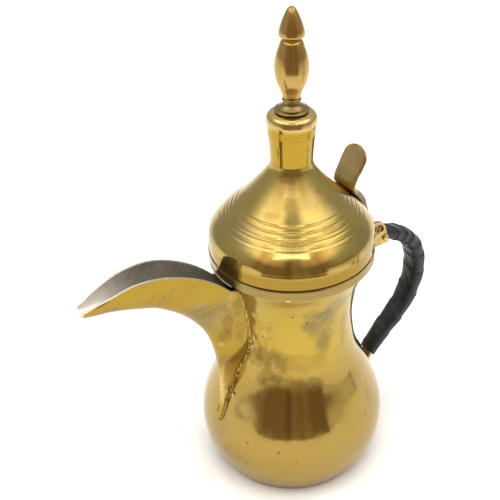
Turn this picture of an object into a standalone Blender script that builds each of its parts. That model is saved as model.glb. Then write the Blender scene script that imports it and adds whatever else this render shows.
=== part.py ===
"""Dallah coffee pot in sheet brass, with a hinged lid and a wrapped strap handle.

Frame: +Z up, the origin at the centre of the flat base, the spout toward -X and the
handle toward +X, so the pot is symmetrical about the plane Y = 0. Every size below is in
millimetres and becomes metres when a mesh is made.
"""
import math

import bmesh
import bpy
from mathutils import Matrix, Vector

MM = 0.001
GAP = 0.3  # left between two pieces that touch
SHEET = 1.2  # thickness of the raised brass sheet
ROUND = 40  # sides of the pot, its bands and its lid
SMALL_ROUND = 16  # sides of the finial, pins and rivets

# Pot: radius and height along the outside, from the foot up to the band.
POT_OUTSIDE = [(51.3, 4.9), (54.6, 13), (56.6, 26), (54.6, 41), (47, 59), (39.4, 78),
               (35.9, 99), (36.6, 116), (39.5, 130), (44.6, 143)]
POT_TOP = 149.2
FOOT_HEIGHT = 4.6
FOOT_RADIUS = (48.6, 50.8)  # at the bottom and the top of the foot ring
FOOT_THICKNESS = 1.6
BASE_THICKNESS = 1.6
BAND_RADIUS = 46.4
BAND_BOTTOM = 143.6
BAND_TOP = 149.5

# Spout stations from its pointed foot to its tip. Below the band an edge lies on the pot:
# keel x, keel z, edge z, half width. Past the band it is free: edge x is given too.
SPOUT_ON_POT = [(-55.4, 44.6, 45.6, 2.2), (-52.2, 57, 59, 2.8), (-51.6, 75, 77, 4.8),
                (-53, 94, 97, 8), (-57.6, 111, 116, 8.2), (-65.5, 124.6, 130, 8.8)]
SPOUT_FREE = [(-75.5, 135.6, -46.6, 141.6, 10.4), (-87.5, 144.6, -61.7, 155.4, 10.2),
              (-100.5, 149.8, -80, 164.8, 9.8), (-112, 153.2, -97, 167.2, 8.2),
              (-119.5, 154.6, -111, 164.2, 7), (-124.9, 155.8, -124, 159.6, 4.4)]
SPOUT_SHEET = 1.3
TROUGH_SIDE, TROUGH_FLOOR = 0.85, 0.9  # powers under 1 make the half-ellipse section fuller
SPOUT_ROWS = 2  # rows of faces between two stations
SPOUT_COLUMNS = 10  # columns of faces across the trough
SEAM_SIZE = 1.7  # leg of the solder fillet beside the trough
MOUTH_HALF_WIDTH = 6.4  # opening through the neck, behind the spout
MOUTH_BOTTOM = 84

# Lid: radius and height along the outside of the dome, up to the chimney.
LID_BOTTOM = BAND_TOP + GAP
LID_RADIUS = 45.9
LID_SHOULDER = 156.6
LID_DOME = [(44.4, 162.4), (37.2, 171), (27.4, 180), (18.6, 189.4), (12.5, 197.6), (11.3, 201.4)]
COLLAR_RADIUS = 40.6  # small enough to swing clear of the neck
COLLAR_BOTTOM = 145.2
CHIMNEY = [(11.3, 201.7), (11.5, 207), (11.9, 212.4), (12.5, 216.8)]
CAP = [(12.5, 217.1), (13.1, 221.4), (12.3, 224.2), (10.2, 225.8), (8.5, 226.3)]
BORE = 1.8  # through the finial pieces
ROD_RADIUS = 1.5
ROD_BOTTOM, ROD_TOP = 216, 273.6
WASHER = [(7.6, 226.6), (8.3, 227.3), (8.3, 227.9), (7.5, 228.5)]
FINIAL_RING = [(6.2, 228.8), (4.7, 230.3), (5.4, 231.5), (5.2, 232.6), (4.5, 233.2), (4.9, 234.1),
               (4.3, 235.2), (4.3, 236)]
BEAD = [(4.3, 236.3), (5.4, 239.8), (7.5, 244.8), (8.6, 251), (7.7, 257), (5.6, 262), (3.9, 266.2)]
SPEAR = [(4.2, 266.5), (5.7, 267.6), (6, 269.4), (5, 273), (3.4, 277.2), (1.9, 280.2), (0.9, 281.2)]
SPEAR_TOP = 281.4
SPEAR_BORE_TOP = 274
NUT_RADIUS, NUT_HEIGHT = 4.4, 3.4

# Hinge and handle, in the plane of symmetry.
HINGE_X, HINGE_Z = 57, 139
PIN_RADIUS = 1.5
PIN_HEAD_RADIUS, HEAD_HEIGHT = 2.7, 1
KNUCKLE_RADIUS = 4
KNUCKLE_HALF_LENGTH = 5.5
CHEEK_INSIDE, CHEEK_OUTSIDE = 5.9, 7.5
BRACKET_BOTTOM = 126.6
BRACKET_TOP = 142.9
WEB = 1.6  # thickness of the floor between the cheeks
BRACKET_END = [(67.6, 127.2), (65.9, 133.2), (63.8, 139.6)]
EAR_RADIUS = 6
RIVET_PLACE = (64.2, 131.6)
RIVET_RADIUS, RIVET_HEAD_RADIUS = 1.2, 2.1
HANDLE = [(61.4, 132.6), (71.5, 129), (81.5, 124.6), (90.4, 117.6), (96.3, 108), (99, 95),
          (97.2, 80.2), (90, 65.8), (79.9, 55.4), (69.9, 45.8), (61.4, 34.4)]
HANDLE_FOOT = [(59.2, 28), (58.6, 19)]
STRAP_HALF_WIDTH, STRAP_HALF_THICKNESS = 4.2, 1.7
STRAP_CORNER = 0.8
FOOT_HALF_THICKNESS = 1.2
FOOT_TAPER = 24  # length over which the strap thins toward its foot
WRAP_HALF_WIDTH, WRAP_HALF_THICKNESS = 5.6, 3.9
WRAP_CORNER = 3.4
WRAP_SWELL = 0.3  # how much fatter the wrap is at the middle of the handle
WRAP_START, WRAP_END = 6.2, 3  # of the strap's length left bare above and below the wrap
WRAP_TILT = math.radians(36)  # lean of the wrap's first turn
WRAP_TILT_FADE = 14

# Thumb lever: centre x and z, thickness and half width, from the knuckle to the paddle's end.
LEVER = [(55.4, 141.8, 3.6, 4.8), (52, 149.2, 3.6, 4.8), (49.1, 156.4, 3.6, 4.9),
         (46.9, 162.6, 3.4, 5), (42.6, 168.8, 3.8, 5.6), (38, 173.6, 3.6, 7.6), (36.9, 176.8, 3, 8.6),
         (38.6, 181, 2.6, 9), (41.2, 185.6, 2.4, 9.4), (43.5, 189.6, 2.4, 9.3)]
PADDLE_TIP = (46, 196)

# Colour, roughness and metallic value of each finish.
BRASS = ((0.58, 0.42, 0.12), 0.22, 1.0)
DULL_BRASS = ((0.42, 0.31, 0.15), 0.42, 1.0)
SOLDER = ((0.38, 0.28, 0.13), 0.5, 1.0)
STEEL = ((0.42, 0.41, 0.39), 0.35, 1.0)
BLACK_WRAP = ((0.035, 0.036, 0.038), 0.45, 0.0)


# ---------------------------------------------------------------- outlines

def smooth(points, steps):
    """Points on a Catmull-Rom curve through the given points, steps to a span."""
    ends = [2 * Vector(points[0]) - Vector(points[1]), 2 * Vector(points[-1]) - Vector(points[-2])]
    keys = [ends[0]] + [Vector(point) for point in points] + [ends[1]]
    curve = []
    for a, b, c, d in zip(keys, keys[1:], keys[2:], keys[3:]):
        for step in range(steps):
            t = step / steps
            curve.append(0.5 * (2 * b + (c - a) * t + (2 * a - 5 * b + 4 * c - d) * t ** 2
                                + (3 * b - a - 3 * c + d) * t ** 3))
    return curve + [keys[-2]]


def inset(curve, distance):
    """The curve moved to its left-hand side, which for an outline that runs up is inward."""
    moved = []
    for index, point in enumerate(curve):
        along = curve[min(index + 1, len(curve) - 1)] - curve[max(index - 1, 0)]
        moved.append(point + distance * Vector((-along.y, along.x)).normalized())
    return moved


def pot_radius(height):
    """Outer radius of the pot at a height, read from its own outline."""
    for low, high in zip(POT_CURVE, POT_CURVE[1:]):
        if low.y <= height <= high.y:
            return low.x + (high.x - low.x) * (height - low.y) / (high.y - low.y)
    return POT_CURVE[-1].x


def pot_surface(height, side):
    """Distance from the axis, along X, to just outside the pot at a height and a Y."""
    return math.sqrt((pot_radius(height) + GAP) ** 2 - side ** 2)


# ---------------------------------------------------------------- makers

def finished(name, mesh_data, finish):
    """A scene object from a bmesh in millimetres, with its material."""
    bmesh.ops.recalc_face_normals(mesh_data, faces=mesh_data.faces)
    bmesh.ops.scale(mesh_data, vec=(MM, MM, MM), verts=mesh_data.verts)
    mesh = bpy.data.meshes.new(name)
    mesh_data.to_mesh(mesh)
    mesh_data.free()
    mesh.shade_smooth()
    mesh.set_sharp_from_angle(angle=math.radians(35))
    colour, roughness, metallic = finish
    material = bpy.data.materials.new(name)
    material.use_nodes = True
    shader = material.node_tree.nodes["Principled BSDF"]
    shader.inputs["Base Color"].default_value = (*colour, 1)
    shader.inputs["Roughness"].default_value = roughness
    shader.inputs["Metallic"].default_value = metallic
    mesh.materials.append(material)
    made = bpy.data.objects.new(name, mesh)
    bpy.context.scene.collection.objects.link(made)
    return made


def turned(name, outline, sides, finish):
    """A ring turned about the Z axis from a closed outline of (radius, height) points."""
    data = bmesh.new()
    rings = []
    for side in range(sides):
        angle = 2 * math.pi * side / sides
        rings.append([data.verts.new((r * math.cos(angle), r * math.sin(angle), z))
                      for r, z in outline])
    for ring, following in zip(rings, rings[1:] + rings[:1]):
        for index in range(len(outline)):
            after = (index + 1) % len(outline)
            data.faces.new((ring[index], ring[after], following[after], following[index]))
    return finished(name, data, finish)


def lofted(name, rings, finish):
    """A bar through closed rings of points, with its two ends filled."""
    data = bmesh.new()
    loops = [[data.verts.new(point) for point in ring] for ring in rings]
    for loop, following in zip(loops, loops[1:]):
        for index in range(len(loop)):
            after = (index + 1) % len(loop)
            data.faces.new((loop[index], loop[after], following[after], following[index]))
    data.faces.new(loops[0])
    data.faces.new(loops[-1])
    return finished(name, data, finish)


def rod(name, start, end, radius, finish, sides=SMALL_ROUND):
    """A plain round bar between two points."""
    start, end = Vector(start), Vector(end)
    turn = (end - start).to_track_quat("Z", "Y")
    rings = []
    for centre in (start, end):
        rings.append([centre + turn @ Vector((radius * math.cos(2 * math.pi * side / sides),
                                              radius * math.sin(2 * math.pi * side / sides), 0))
                      for side in range(sides)])
    return lofted(name, rings, finish)


def cross_pin(name, place, radius, head_radius, finish):
    """A pin along Y through both cheeks, with a round head at each end."""
    x, z = place
    half_length = CHEEK_OUTSIDE + GAP
    sections = [(-half_length - HEAD_HEIGHT, 0.6 * head_radius),
                (-half_length - 0.4 * HEAD_HEIGHT, head_radius), (-half_length, head_radius),
                (-half_length, radius), (half_length, radius), (half_length, head_radius),
                (half_length + 0.4 * HEAD_HEIGHT, head_radius),
                (half_length + HEAD_HEIGHT, 0.6 * head_radius)]
    rings = []
    for y, size in sections:
        rings.append([(x + size * math.cos(2 * math.pi * side / SMALL_ROUND), y,
                       z + size * math.sin(2 * math.pi * side / SMALL_ROUND))
                      for side in range(SMALL_ROUND)])
    return lofted(name, rings, finish)


def combine(target, tool, operation):
    """A Boolean of two objects, kept as a modifier, with the tool hidden."""
    modifier = target.modifiers.new(tool.name, "BOOLEAN")
    modifier.operation = operation
    modifier.object = tool
    tool.hide_render = True
    tool.display_type = "WIRE"


def drill_across(target, place, radius):
    """A round hole along Y through an object, at a place in the X-Z plane."""
    x, z = place
    tool = rod("drill", (x, -2 * CHEEK_OUTSIDE, z), (x, 2 * CHEEK_OUTSIDE, z), radius, STEEL)
    combine(target, tool, "DIFFERENCE")


# ---------------------------------------------------------------- pot

def make_pot():
    """The raised body, its base, its foot ring and the band round its mouth."""
    outside = POT_CURVE + [Vector((POT_CURVE[-1].x, POT_TOP))]
    shell = turned("body_shell", outside + inset(outside, SHEET)[::-1], ROUND, BRASS)
    cut_mouth(shell)
    low, high = FOOT_RADIUS
    turned("foot_ring", [(low, 0), (high, FOOT_HEIGHT), (high - FOOT_THICKNESS, FOOT_HEIGHT),
                         (low - FOOT_THICKNESS, 0)], ROUND, BRASS)
    radius = low - FOOT_THICKNESS - GAP
    rod("base_plate", (0, 0, 0), (0, 0, BASE_THICKNESS), radius, DULL_BRASS, sides=ROUND)
    inside = POT_CURVE[-1].x + GAP
    turned("rim_band", [(inside, BAND_BOTTOM), (BAND_RADIUS - 0.4, BAND_BOTTOM),
                        (BAND_RADIUS, BAND_BOTTOM + 0.5), (BAND_RADIUS, BAND_TOP - 0.5),
                        (BAND_RADIUS - 0.4, BAND_TOP), (inside, BAND_TOP)], ROUND, DULL_BRASS)


def cut_mouth(shell):
    """The arched opening in the neck that lets coffee into the spout."""
    half = MOUTH_HALF_WIDTH
    arch = [(half, POT_TOP + 5)]
    for step in range(13):
        angle = math.pi * step / 12
        arch.append((half * math.cos(angle), MOUTH_BOTTOM + half * (1 - math.sin(angle))))
    arch.append((-half, POT_TOP + 5))
    tool = lofted("mouth_cutter", [[(x, y, z) for y, z in arch] for x in (-60, -20)], BRASS)
    combine(shell, tool, "DIFFERENCE")


def spout_stations():
    """Stations along the trough: keel and edge points in the X-Z plane, and half width."""
    keys = [(kx, kz, -pot_surface(ez, w), ez, w) for kx, kz, ez, w in SPOUT_ON_POT]
    stations = smooth(keys + SPOUT_FREE, SPOUT_ROWS)
    for index in range(len(SPOUT_ON_POT) * SPOUT_ROWS):
        station = stations[index]
        if station[3] < SPOUT_FREE[0][3]:
            station[2] = -pot_surface(station[3], station[4])
    return stations


def trough_row(station, wall):
    """One row of points across the trough, its wall's thickness inside the outer face."""
    keel_x, keel_z, edge_x, edge_z, width = station
    if edge_z < SPOUT_FREE[0][3]:
        edge_x = -pot_surface(edge_z, width - wall)
    depth = math.hypot(keel_x - edge_x, keel_z - edge_z)
    fullness = (depth - wall) / depth
    row = []
    for column in range(SPOUT_COLUMNS + 1):
        angle = math.pi * (column / SPOUT_COLUMNS - 0.5)
        across = math.copysign(abs(math.sin(angle)) ** TROUGH_SIDE, angle)
        down = fullness * math.cos(angle) ** TROUGH_FLOOR
        row.append((edge_x + (keel_x - edge_x) * down, (width - wall) * across,
                    edge_z + (keel_z - edge_z) * down))
    return row


def make_spout():
    """The open trough of sheet brass, and the solder that joins its edges to the neck."""
    stations = spout_stations()
    rings = []
    for station in stations:
        outer = trough_row(station, 0)
        inner = trough_row(station, SPOUT_SHEET)
        rings.append(outer + inner[::-1])
    lofted("spout", rings, BRASS)
    for name, side in (("spout_seam_left", 1), ("spout_seam_right", -1)):
        rings = []
        for station in stations:
            height, width = station[3], station[4]
            if height < SPOUT_FREE[0][3] - 2:
                near, far = width + GAP, width + GAP + SEAM_SIZE
                rings.append([(-pot_surface(height, near), side * near, height),
                              (-pot_surface(height, far), side * far, height),
                              (-pot_surface(height, near) - SEAM_SIZE, side * near, height)])
        lofted(name, rings, SOLDER)


# ---------------------------------------------------------------- handle

def make_bracket():
    """A folded channel: two cheeks that carry the hinge pin, and a web below."""
    outline = [(pot_radius(BRACKET_BOTTOM) + GAP, BRACKET_BOTTOM)] + BRACKET_END
    for step in range(7):
        angle = math.radians(45 + 75 * step / 6)
        outline.append((HINGE_X + EAR_RADIUS * math.cos(angle),
                        HINGE_Z + EAR_RADIUS * math.sin(angle)))
    outline.append((BAND_RADIUS + 2, BRACKET_TOP))
    for step in range(5):
        height = BRACKET_TOP + (BRACKET_BOTTOM - BRACKET_TOP) * step / 5
        outline.append((pot_radius(height) + GAP, height))
    bracket = lofted("handle_bracket", [[(x, y, z) for x, z in outline]
                                        for y in (-CHEEK_OUTSIDE, CHEEK_OUTSIDE)], DULL_BRASS)
    floor, above = BRACKET_BOTTOM + WEB, HINGE_Z + 20
    channel = [(30, floor), (80, floor), (80, above), (30, above)]
    tool = lofted("channel_cutter", [[(x, y, z) for x, z in channel]
                                     for y in (-CHEEK_INSIDE, CHEEK_INSIDE)], BRASS)
    combine(bracket, tool, "DIFFERENCE")
    drill_across(bracket, (HINGE_X, HINGE_Z), PIN_RADIUS + GAP)
    drill_across(bracket, RIVET_PLACE, RIVET_RADIUS + GAP)


def strap_frame(line):
    """Each point of a line in the X-Z plane with its unit direction and distance along."""
    stations = []
    travelled = 0
    for index, point in enumerate(line):
        along = (line[min(index + 1, len(line) - 1)] - line[max(index - 1, 0)]).normalized()
        if index:
            travelled += (point - line[index - 1]).length
        stations.append((point, along, travelled))
    return stations


def section(point, along, half_width, half_thickness, corner, corners=3):
    """A rounded rectangle across a line in the X-Z plane."""
    up = Vector((-along.y, along.x))
    ring = []
    for quarter in range(4):
        side_y = 1 if quarter in (0, 3) else -1
        side_up = 1 if quarter in (0, 1) else -1
        for step in range(corners):
            angle = math.radians(90) * (quarter + step / (corners - 1))
            y = side_y * (half_width - corner) + corner * math.cos(angle)
            rise = side_up * (half_thickness - corner) + corner * math.sin(angle)
            place = point + rise * up
            ring.append((place.x, y, place.y))
    return ring


def make_handle():
    """The bent strap that ends on the belly, the wrap round it, and the bracket's rivet."""
    stations = strap_frame(smooth(HANDLE + HANDLE_FOOT, 2))
    length = stations[-1][2]
    rings = []
    for point, along, travelled in stations:
        share = min(1, (length - travelled) / FOOT_TAPER)
        thickness = FOOT_HALF_THICKNESS + (STRAP_HALF_THICKNESS - FOOT_HALF_THICKNESS) * share
        rings.append(section(point, along, STRAP_HALF_WIDTH, thickness, STRAP_CORNER))
    strap = lofted("handle_strap", rings, BRASS)
    drill_across(strap, RIVET_PLACE, RIVET_RADIUS + GAP)
    cross_pin("bracket_rivet", RIVET_PLACE, RIVET_RADIUS, RIVET_HEAD_RADIUS, BRASS)
    make_wrap()


def make_wrap():
    """The black strip's outer shape, as one sleeve round the strap."""
    stations = strap_frame(smooth(HANDLE, 2))
    length = stations[-1][2]
    turns = [station for station in stations if WRAP_START < station[2] < length - WRAP_END]
    outer, inner = [], []
    for point, along, travelled in turns:
        tilt = WRAP_TILT * max(0, 1 - (travelled - turns[0][2]) / WRAP_TILT_FADE)
        across = along.copy()
        across.rotate(Matrix.Rotation(tilt, 2))
        stretch = 1 / math.cos(tilt)
        swell = 1 + WRAP_SWELL * math.sin(math.pi * travelled / length)
        outer.append(section(point, across, WRAP_HALF_WIDTH * swell,
                             WRAP_HALF_THICKNESS * swell * stretch, WRAP_CORNER))
        inner.append(section(point, across, STRAP_HALF_WIDTH + GAP,
                             (STRAP_HALF_THICKNESS + GAP) * stretch, STRAP_CORNER))
    data = bmesh.new()
    rows = [[data.verts.new(p) for p in ring] for ring in outer + inner[::-1]]
    for row, following in zip(rows, rows[1:] + rows[:1]):
        for index in range(len(row)):
            after = (index + 1) % len(row)
            data.faces.new((row[index], row[after], following[after], following[index]))
    finished("handle_wrap", data, BLACK_WRAP)


# ---------------------------------------------------------------- lid

def make_lid():
    """The dome, the collar inside it, the chimney and the finial on its rod."""
    rim = [Vector((LID_RADIUS, LID_BOTTOM)), Vector((LID_RADIUS, 153))]
    outside = rim + smooth([(LID_RADIUS, LID_SHOULDER)] + LID_DOME, 2)
    pieces = [turned("lid_dome", outside + inset(outside, SHEET)[::-1], ROUND, BRASS)]
    flange_radius = LID_RADIUS - SHEET - GAP
    wall = COLLAR_RADIUS - SHEET
    pieces.append(turned("lid_collar", [
        (COLLAR_RADIUS, COLLAR_BOTTOM), (COLLAR_RADIUS, LID_BOTTOM), (flange_radius, LID_BOTTOM),
        (flange_radius, LID_BOTTOM + SHEET), (wall, LID_BOTTOM + SHEET), (wall, COLLAR_BOTTOM)],
        ROUND, DULL_BRASS))
    for name, keys in (("chimney_tube", CHIMNEY), ("chimney_cap", CAP)):
        curve = smooth(keys, 2)
        inside = inset(curve, SHEET)[::-1]
        if name == "chimney_cap":
            crown, under = Vector((BORE, CAP[-1][1])), Vector((BORE, CAP[-1][1] - SHEET))
            inside = [crown, under] + [point for point in inside if point.y < under.y]
        pieces.append(turned(name, curve + inside, SMALL_ROUND, BRASS))
    for name, keys in (("finial_washer", WASHER), ("finial_ring", FINIAL_RING),
                       ("finial_bead", BEAD)):
        curve = smooth(keys, 2 if name != "finial_washer" else 1)
        bore = [(BORE, keys[-1][1]), (BORE, keys[0][1])]
        pieces.append(turned(name, curve + bore, SMALL_ROUND, BRASS))
    pieces.append(make_spear())
    pieces.append(rod("finial_rod", (0, 0, ROD_BOTTOM), (0, 0, ROD_TOP), ROD_RADIUS, STEEL))
    nut_top = CAP[-1][1] - SHEET - GAP
    hexagon = [(math.cos(math.radians(60 * k)), math.sin(math.radians(60 * k))) for k in range(6)]
    nut = lofted("finial_nut", [[(NUT_RADIUS * x, NUT_RADIUS * y, z) for x, y in hexagon]
                                for z in (nut_top - NUT_HEIGHT, nut_top)], STEEL)
    bore = rod("nut_bore", (0, 0, nut_top - 2 * NUT_HEIGHT), (0, 0, nut_top + NUT_HEIGHT), BORE, STEEL)
    combine(nut, bore, "DIFFERENCE")
    return pieces + [nut]


def make_spear():
    """The pointed tip, with a blind bore for the rod."""
    rings = []
    for radius, height in [(BORE, SPEAR_BORE_TOP), (BORE, SPEAR[0][1])] + smooth(SPEAR, 2):
        rings.append([(radius * math.cos(2 * math.pi * side / SMALL_ROUND),
                       radius * math.sin(2 * math.pi * side / SMALL_ROUND), height)
                      for side in range(SMALL_ROUND)])
    rings.append([(0.4 * x, 0.4 * y, SPEAR_TOP) for x, y, _ in rings[-1]])
    return lofted("finial_spear", rings, BRASS)


def make_lever():
    """The cast thumb lever, from its knuckle on the pin to the round paddle."""
    stations = [Vector(station) for station in smooth(LEVER, 2)]
    last = stations[-1]
    for step in range(1, 6):
        turn = math.radians(90) * step / 5
        share = math.sin(turn)
        stations.append(Vector((last[0] + (PADDLE_TIP[0] - last[0]) * share,
                                last[1] + (PADDLE_TIP[1] - last[1]) * share,
                                last[2] - 0.6 * share, max(0.8, last[3] * math.cos(turn)))))
    line = [Vector((station[0], station[1])) for station in stations]
    rings = []
    for (point, along, _), station in zip(strap_frame(line), stations):
        corner = 0.35 * min(station[2], 2 * station[3])
        rings.append(section(point, along, station[3], station[2] / 2, corner))
    lever = lofted("thumb_lever", rings, BRASS)
    knuckle = rod("knuckle", (HINGE_X, -KNUCKLE_HALF_LENGTH, HINGE_Z),
                  (HINGE_X, KNUCKLE_HALF_LENGTH, HINGE_Z), KNUCKLE_RADIUS, BRASS)
    combine(lever, knuckle, "UNION")
    drill_across(lever, (HINGE_X, HINGE_Z), PIN_RADIUS + GAP)
    return lever


# ---------------------------------------------------------------- assembly

def main():
    for old in list(bpy.data.objects):
        bpy.data.objects.remove(old, do_unlink=True)
    make_pot()
    make_spout()
    make_bracket()
    make_handle()
    cross_pin("hinge_pin", (HINGE_X, HINGE_Z), PIN_RADIUS, PIN_HEAD_RADIUS, STEEL)
    hinge = bpy.data.objects.new("lid_hinge", None)
    hinge.location = (HINGE_X * MM, 0, HINGE_Z * MM)
    bpy.context.scene.collection.objects.link(hinge)
    for piece in make_lid() + [make_lever()]:
        piece.parent = hinge
        piece.location = -hinge.location


POT_CURVE = smooth(POT_OUTSIDE, 2)
main()
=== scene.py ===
"""Dallah coffee pot: the detailed pieces, their finishes, the studio and the camera.

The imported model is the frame: +Z up, the origin at the centre of the flat base, the spout
toward -X and the handle toward +X. Sizes are in millimetres, and become metres when a mesh is
made. They are the CAD's, or within about 3 mm of it where the real outline is finer.
"""
from math import acos, copysign, cos, exp, hypot, pi, radians, sin, sqrt
from random import Random

import bmesh
import bpy
from mathutils import Matrix, Vector, noise

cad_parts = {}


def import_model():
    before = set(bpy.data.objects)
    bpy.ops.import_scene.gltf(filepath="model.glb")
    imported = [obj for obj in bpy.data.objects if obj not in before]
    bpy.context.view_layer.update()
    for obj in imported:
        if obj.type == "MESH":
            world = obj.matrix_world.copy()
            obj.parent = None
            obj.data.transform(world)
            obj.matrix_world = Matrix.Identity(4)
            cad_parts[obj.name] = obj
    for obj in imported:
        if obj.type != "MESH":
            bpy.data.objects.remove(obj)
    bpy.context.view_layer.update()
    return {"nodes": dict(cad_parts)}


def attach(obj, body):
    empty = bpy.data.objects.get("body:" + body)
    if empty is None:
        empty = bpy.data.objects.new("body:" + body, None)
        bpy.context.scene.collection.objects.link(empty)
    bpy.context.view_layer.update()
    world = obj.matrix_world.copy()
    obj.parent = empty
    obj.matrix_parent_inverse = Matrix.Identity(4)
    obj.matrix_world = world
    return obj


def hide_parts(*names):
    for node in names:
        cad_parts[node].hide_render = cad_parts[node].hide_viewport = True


MM = 0.001
UP = Vector((0, 0, 1))

# The gap between neighbours, the sheet, and the sides of turned pieces.
GAP = 0.3
SHEET = 1.2
POT_SIDES, BASE_SIDES, LID_SIDES, COLLAR_SIDES = 240, 192, 256, 200
CHIMNEY_SIDES, FINIAL_SIDES, SPEAR_SIDES = 144, 112, 96

# Pot: radius and height along the outside.
POT_OUTSIDE = [(51.3, 4.9), (54.6, 13), (56.6, 26), (54.6, 41), (47.3, 59), (39.1, 78),
               (35.9, 99), (36.6, 116), (39.5, 130), (44.6, 143)]
POT_TOP = 149.2
FOOT_RADIUS, FOOT_HEIGHT = (48.6, 50.8), 4.6
FOOT_THICKNESS, BASE_THICKNESS = 1.6, 1.6
BAND_RADIUS, BAND_BOTTOM, BAND_TOP = 46.4, 143.6, 149.5

# Spout stations: keel x, keel z, edge z, half width on the pot; edge x as well past the band.
SPOUT_ON_POT = [(-55.4, 44.6, 45.6, 1.8), (-52.2, 57, 59, 1.5), (-51.6, 75, 77, 1.9),
                (-53, 94, 97, 8), (-57.6, 111, 116, 8.2), (-65.5, 124.6, 130, 8.8)]
SPOUT_FREE = [(-75.5, 135.6, -46.6, 141.6, 10.4), (-87.5, 144.6, -61.7, 155.4, 10.2),
              (-100.5, 149.8, -80, 164.8, 9.8), (-112, 153.2, -97, 167.2, 8.2),
              (-119.5, 154.6, -111, 164.2, 7), (-124.9, 155.8, -124, 159.6, 4.4)]
SPOUT_SHEET = 1.3
TROUGH_SIDE, TROUGH_FLOOR = 0.85, 0.9
SPOUT_ROWS, SPOUT_COLUMNS = 12, 44
SEAM_SIZE, SEAM_STEPS = 1.05, 9
SEAM_FOOT, SEAM_TOP, OFF_SEAM = 44, 146, 99
MOUTH_HALF_WIDTH, MOUTH_BOTTOM, MOUTH_STEPS = 6, 92, 34

# Lid and finial.
LID_BOTTOM = BAND_TOP + GAP
LID_RADIUS = 45.9
LID_SHOULDER = 157.4
LID_DOME = [(44.5, 162.7), (37.2, 171), (27.4, 180), (18.6, 189.4), (12.5, 197.6), (11.3, 201.4)]
# Turned lines on the dome: radius and depth.
LID_GROOVES = [(29.3, 0.14), (32, 0.16), (34.6, 0.13), (36.1, 0.1), (38.6, 0.06)]
COLLAR_RADIUS, COLLAR_BOTTOM = 40.6, 145.2
CHIMNEY = [(11.3, 201.5), (11.5, 207), (11.9, 212.4), (12.5, 217)]
CAP = [(12.5, 217.06), (12.6, 219), (12.75, 221.4), (13.3, 224.2), (12.7, 226.7), (11, 228.3),
       (8.8, 228.9)]
BORE = 1.8
WASHER = [(7.9, 229.1), (8.9, 229.5), (9.05, 230), (8.4, 230.5), (7, 230.9)]
FINIAL_RING = [(7.2, 231), (6.4, 231.6), (5.3, 232.6), (4.7, 233.8), (4.6, 234.6), (4.9, 235.1),
               (4.9, 235.6), (4.4, 236)]
BEAD = [(4.4, 236.2), (5.5, 239.8), (7.6, 244.8), (8.65, 251), (8.05, 257), (6.5, 262),
        (5.4, 264.7), (3.9, 266.2)]
SPEAR = [(4.3, 266.4), (6.1, 267.3), (6.4, 269.3), (5.4, 273), (3.7, 277.2), (2.1, 280.2),
         (1, 281.2)]
SPEAR_TOP, SPEAR_BORE_TOP = 281.4, 274

# Hinge, bracket and rivet.
HINGE_X, HINGE_Z = 57, 139
PIN_RADIUS, PIN_HEAD_RADIUS, HEAD_HEIGHT = 1.5, 2.7, 1
KNUCKLE_RADIUS, KNUCKLE_HALF_LENGTH = 4, 5.5
CHEEK_INSIDE, CHEEK_OUTSIDE = 5.9, 7.5
BRACKET_BOTTOM, BRACKET_TOP, WEB = 126.6, 142.9, 1.6
BRACKET_END = [(67.6, 127.2), (65.9, 133.2), (63.8, 139.6)]
EAR_RADIUS = 6
RIVET_PLACE, RIVET_RADIUS, RIVET_HEAD_RADIUS = (64.2, 131.6), 1.2, 2.1

# The handle's line from the bracket down, its strap, and the strip wound round it.
HANDLE = [(61.4, 132.6), (71.5, 129), (81.5, 124.6), (90.4, 117.6), (96.3, 108), (99, 95),
          (97.2, 80.2), (90, 65.8), (79.9, 55.4), (69.9, 45.8), (61.4, 34.4)]
HANDLE_FOOT = [(59.2, 28), (58.6, 19)]
STRAP_HALF_WIDTH, STRAP_HALF_THICKNESS = 4.2, 1.7
FOOT_HALF_THICKNESS, FOOT_TAPER = 1.2, 24
WRAP_HALF_WIDTH, WRAP_HALF_THICKNESS = 5.6, 3.9
WRAP_SWELL = 0.3
WRAP_START, WRAP_END = 6.2, 3
WRAP_TILT, WRAP_TILT_FADE = radians(36), 14
# How far along the handle each turn of the strip starts after the one before.
WRAP_PITCHES = [9.5, 8, 6.5, 9, 10, 14, 17, 18, 13, 21, 12, 17, 20]
WRAP_LAST_PITCH = 16

# Thumb lever stations: x, z, thickness, half width.
LEVER = [(55.6, 141.8, 3.6, 4.8), (54.6, 146, 4.8, 4.9), (52, 150.4, 4, 4.9),
         (49.4, 156.4, 4.4, 5.2), (47, 162.4, 4.8, 5.8), (42.3, 168.2, 4.6, 7.2),
         (37.5, 173, 4, 8.8), (36.7, 176.6, 3.1, 9), (38.6, 181, 2.6, 9),
         (41.2, 185.6, 2.4, 9.4), (43.5, 189.6, 2.4, 9.3)]
PADDLE_TIP = (46, 196)

# The side of the pot that the camera looks at, and the camera's place in metres.
VIEW_DEGREES = -126
VIEW_AZIMUTH = radians(VIEW_DEGREES)
CAMERA_PLACE = (-0.2181, -0.3001, 0.399)
CAMERA_DOWN = radians(34.5)
CAMERA_LENS, CAMERA_SENSOR, CAMERA_SHIFT = 57.8, 36, -0.0834

# The room's brightness by the sine of the elevation, and its windows: degrees to the right of
# the view, elevation, half width and half height in degrees, and strength over the room.
ROOM_LEVELS = [(0, (0.54, 0.54, 0.56)), (0.3, (0.56, 0.56, 0.57)), (0.55, (0.67, 0.66, 0.65)),
               (0.9, (0.84, 0.82, 0.78)), (0.96, (1.3, 1.27, 1.2)), (1, (1.8, 1.75, 1.65))]
WINDOWS = [(-60, 51, 35, 15, 2.3), (66, 50, 37, 16, 2.2)]
STREAKS = 5.0  # streaks across the dark opening for each radian
POT_MIDDLE = Vector((0, 0, 0.12))
TABLE_RADIUS, FLOOR_LIFT = 4, 0.004

LOOKS = {}


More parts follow.
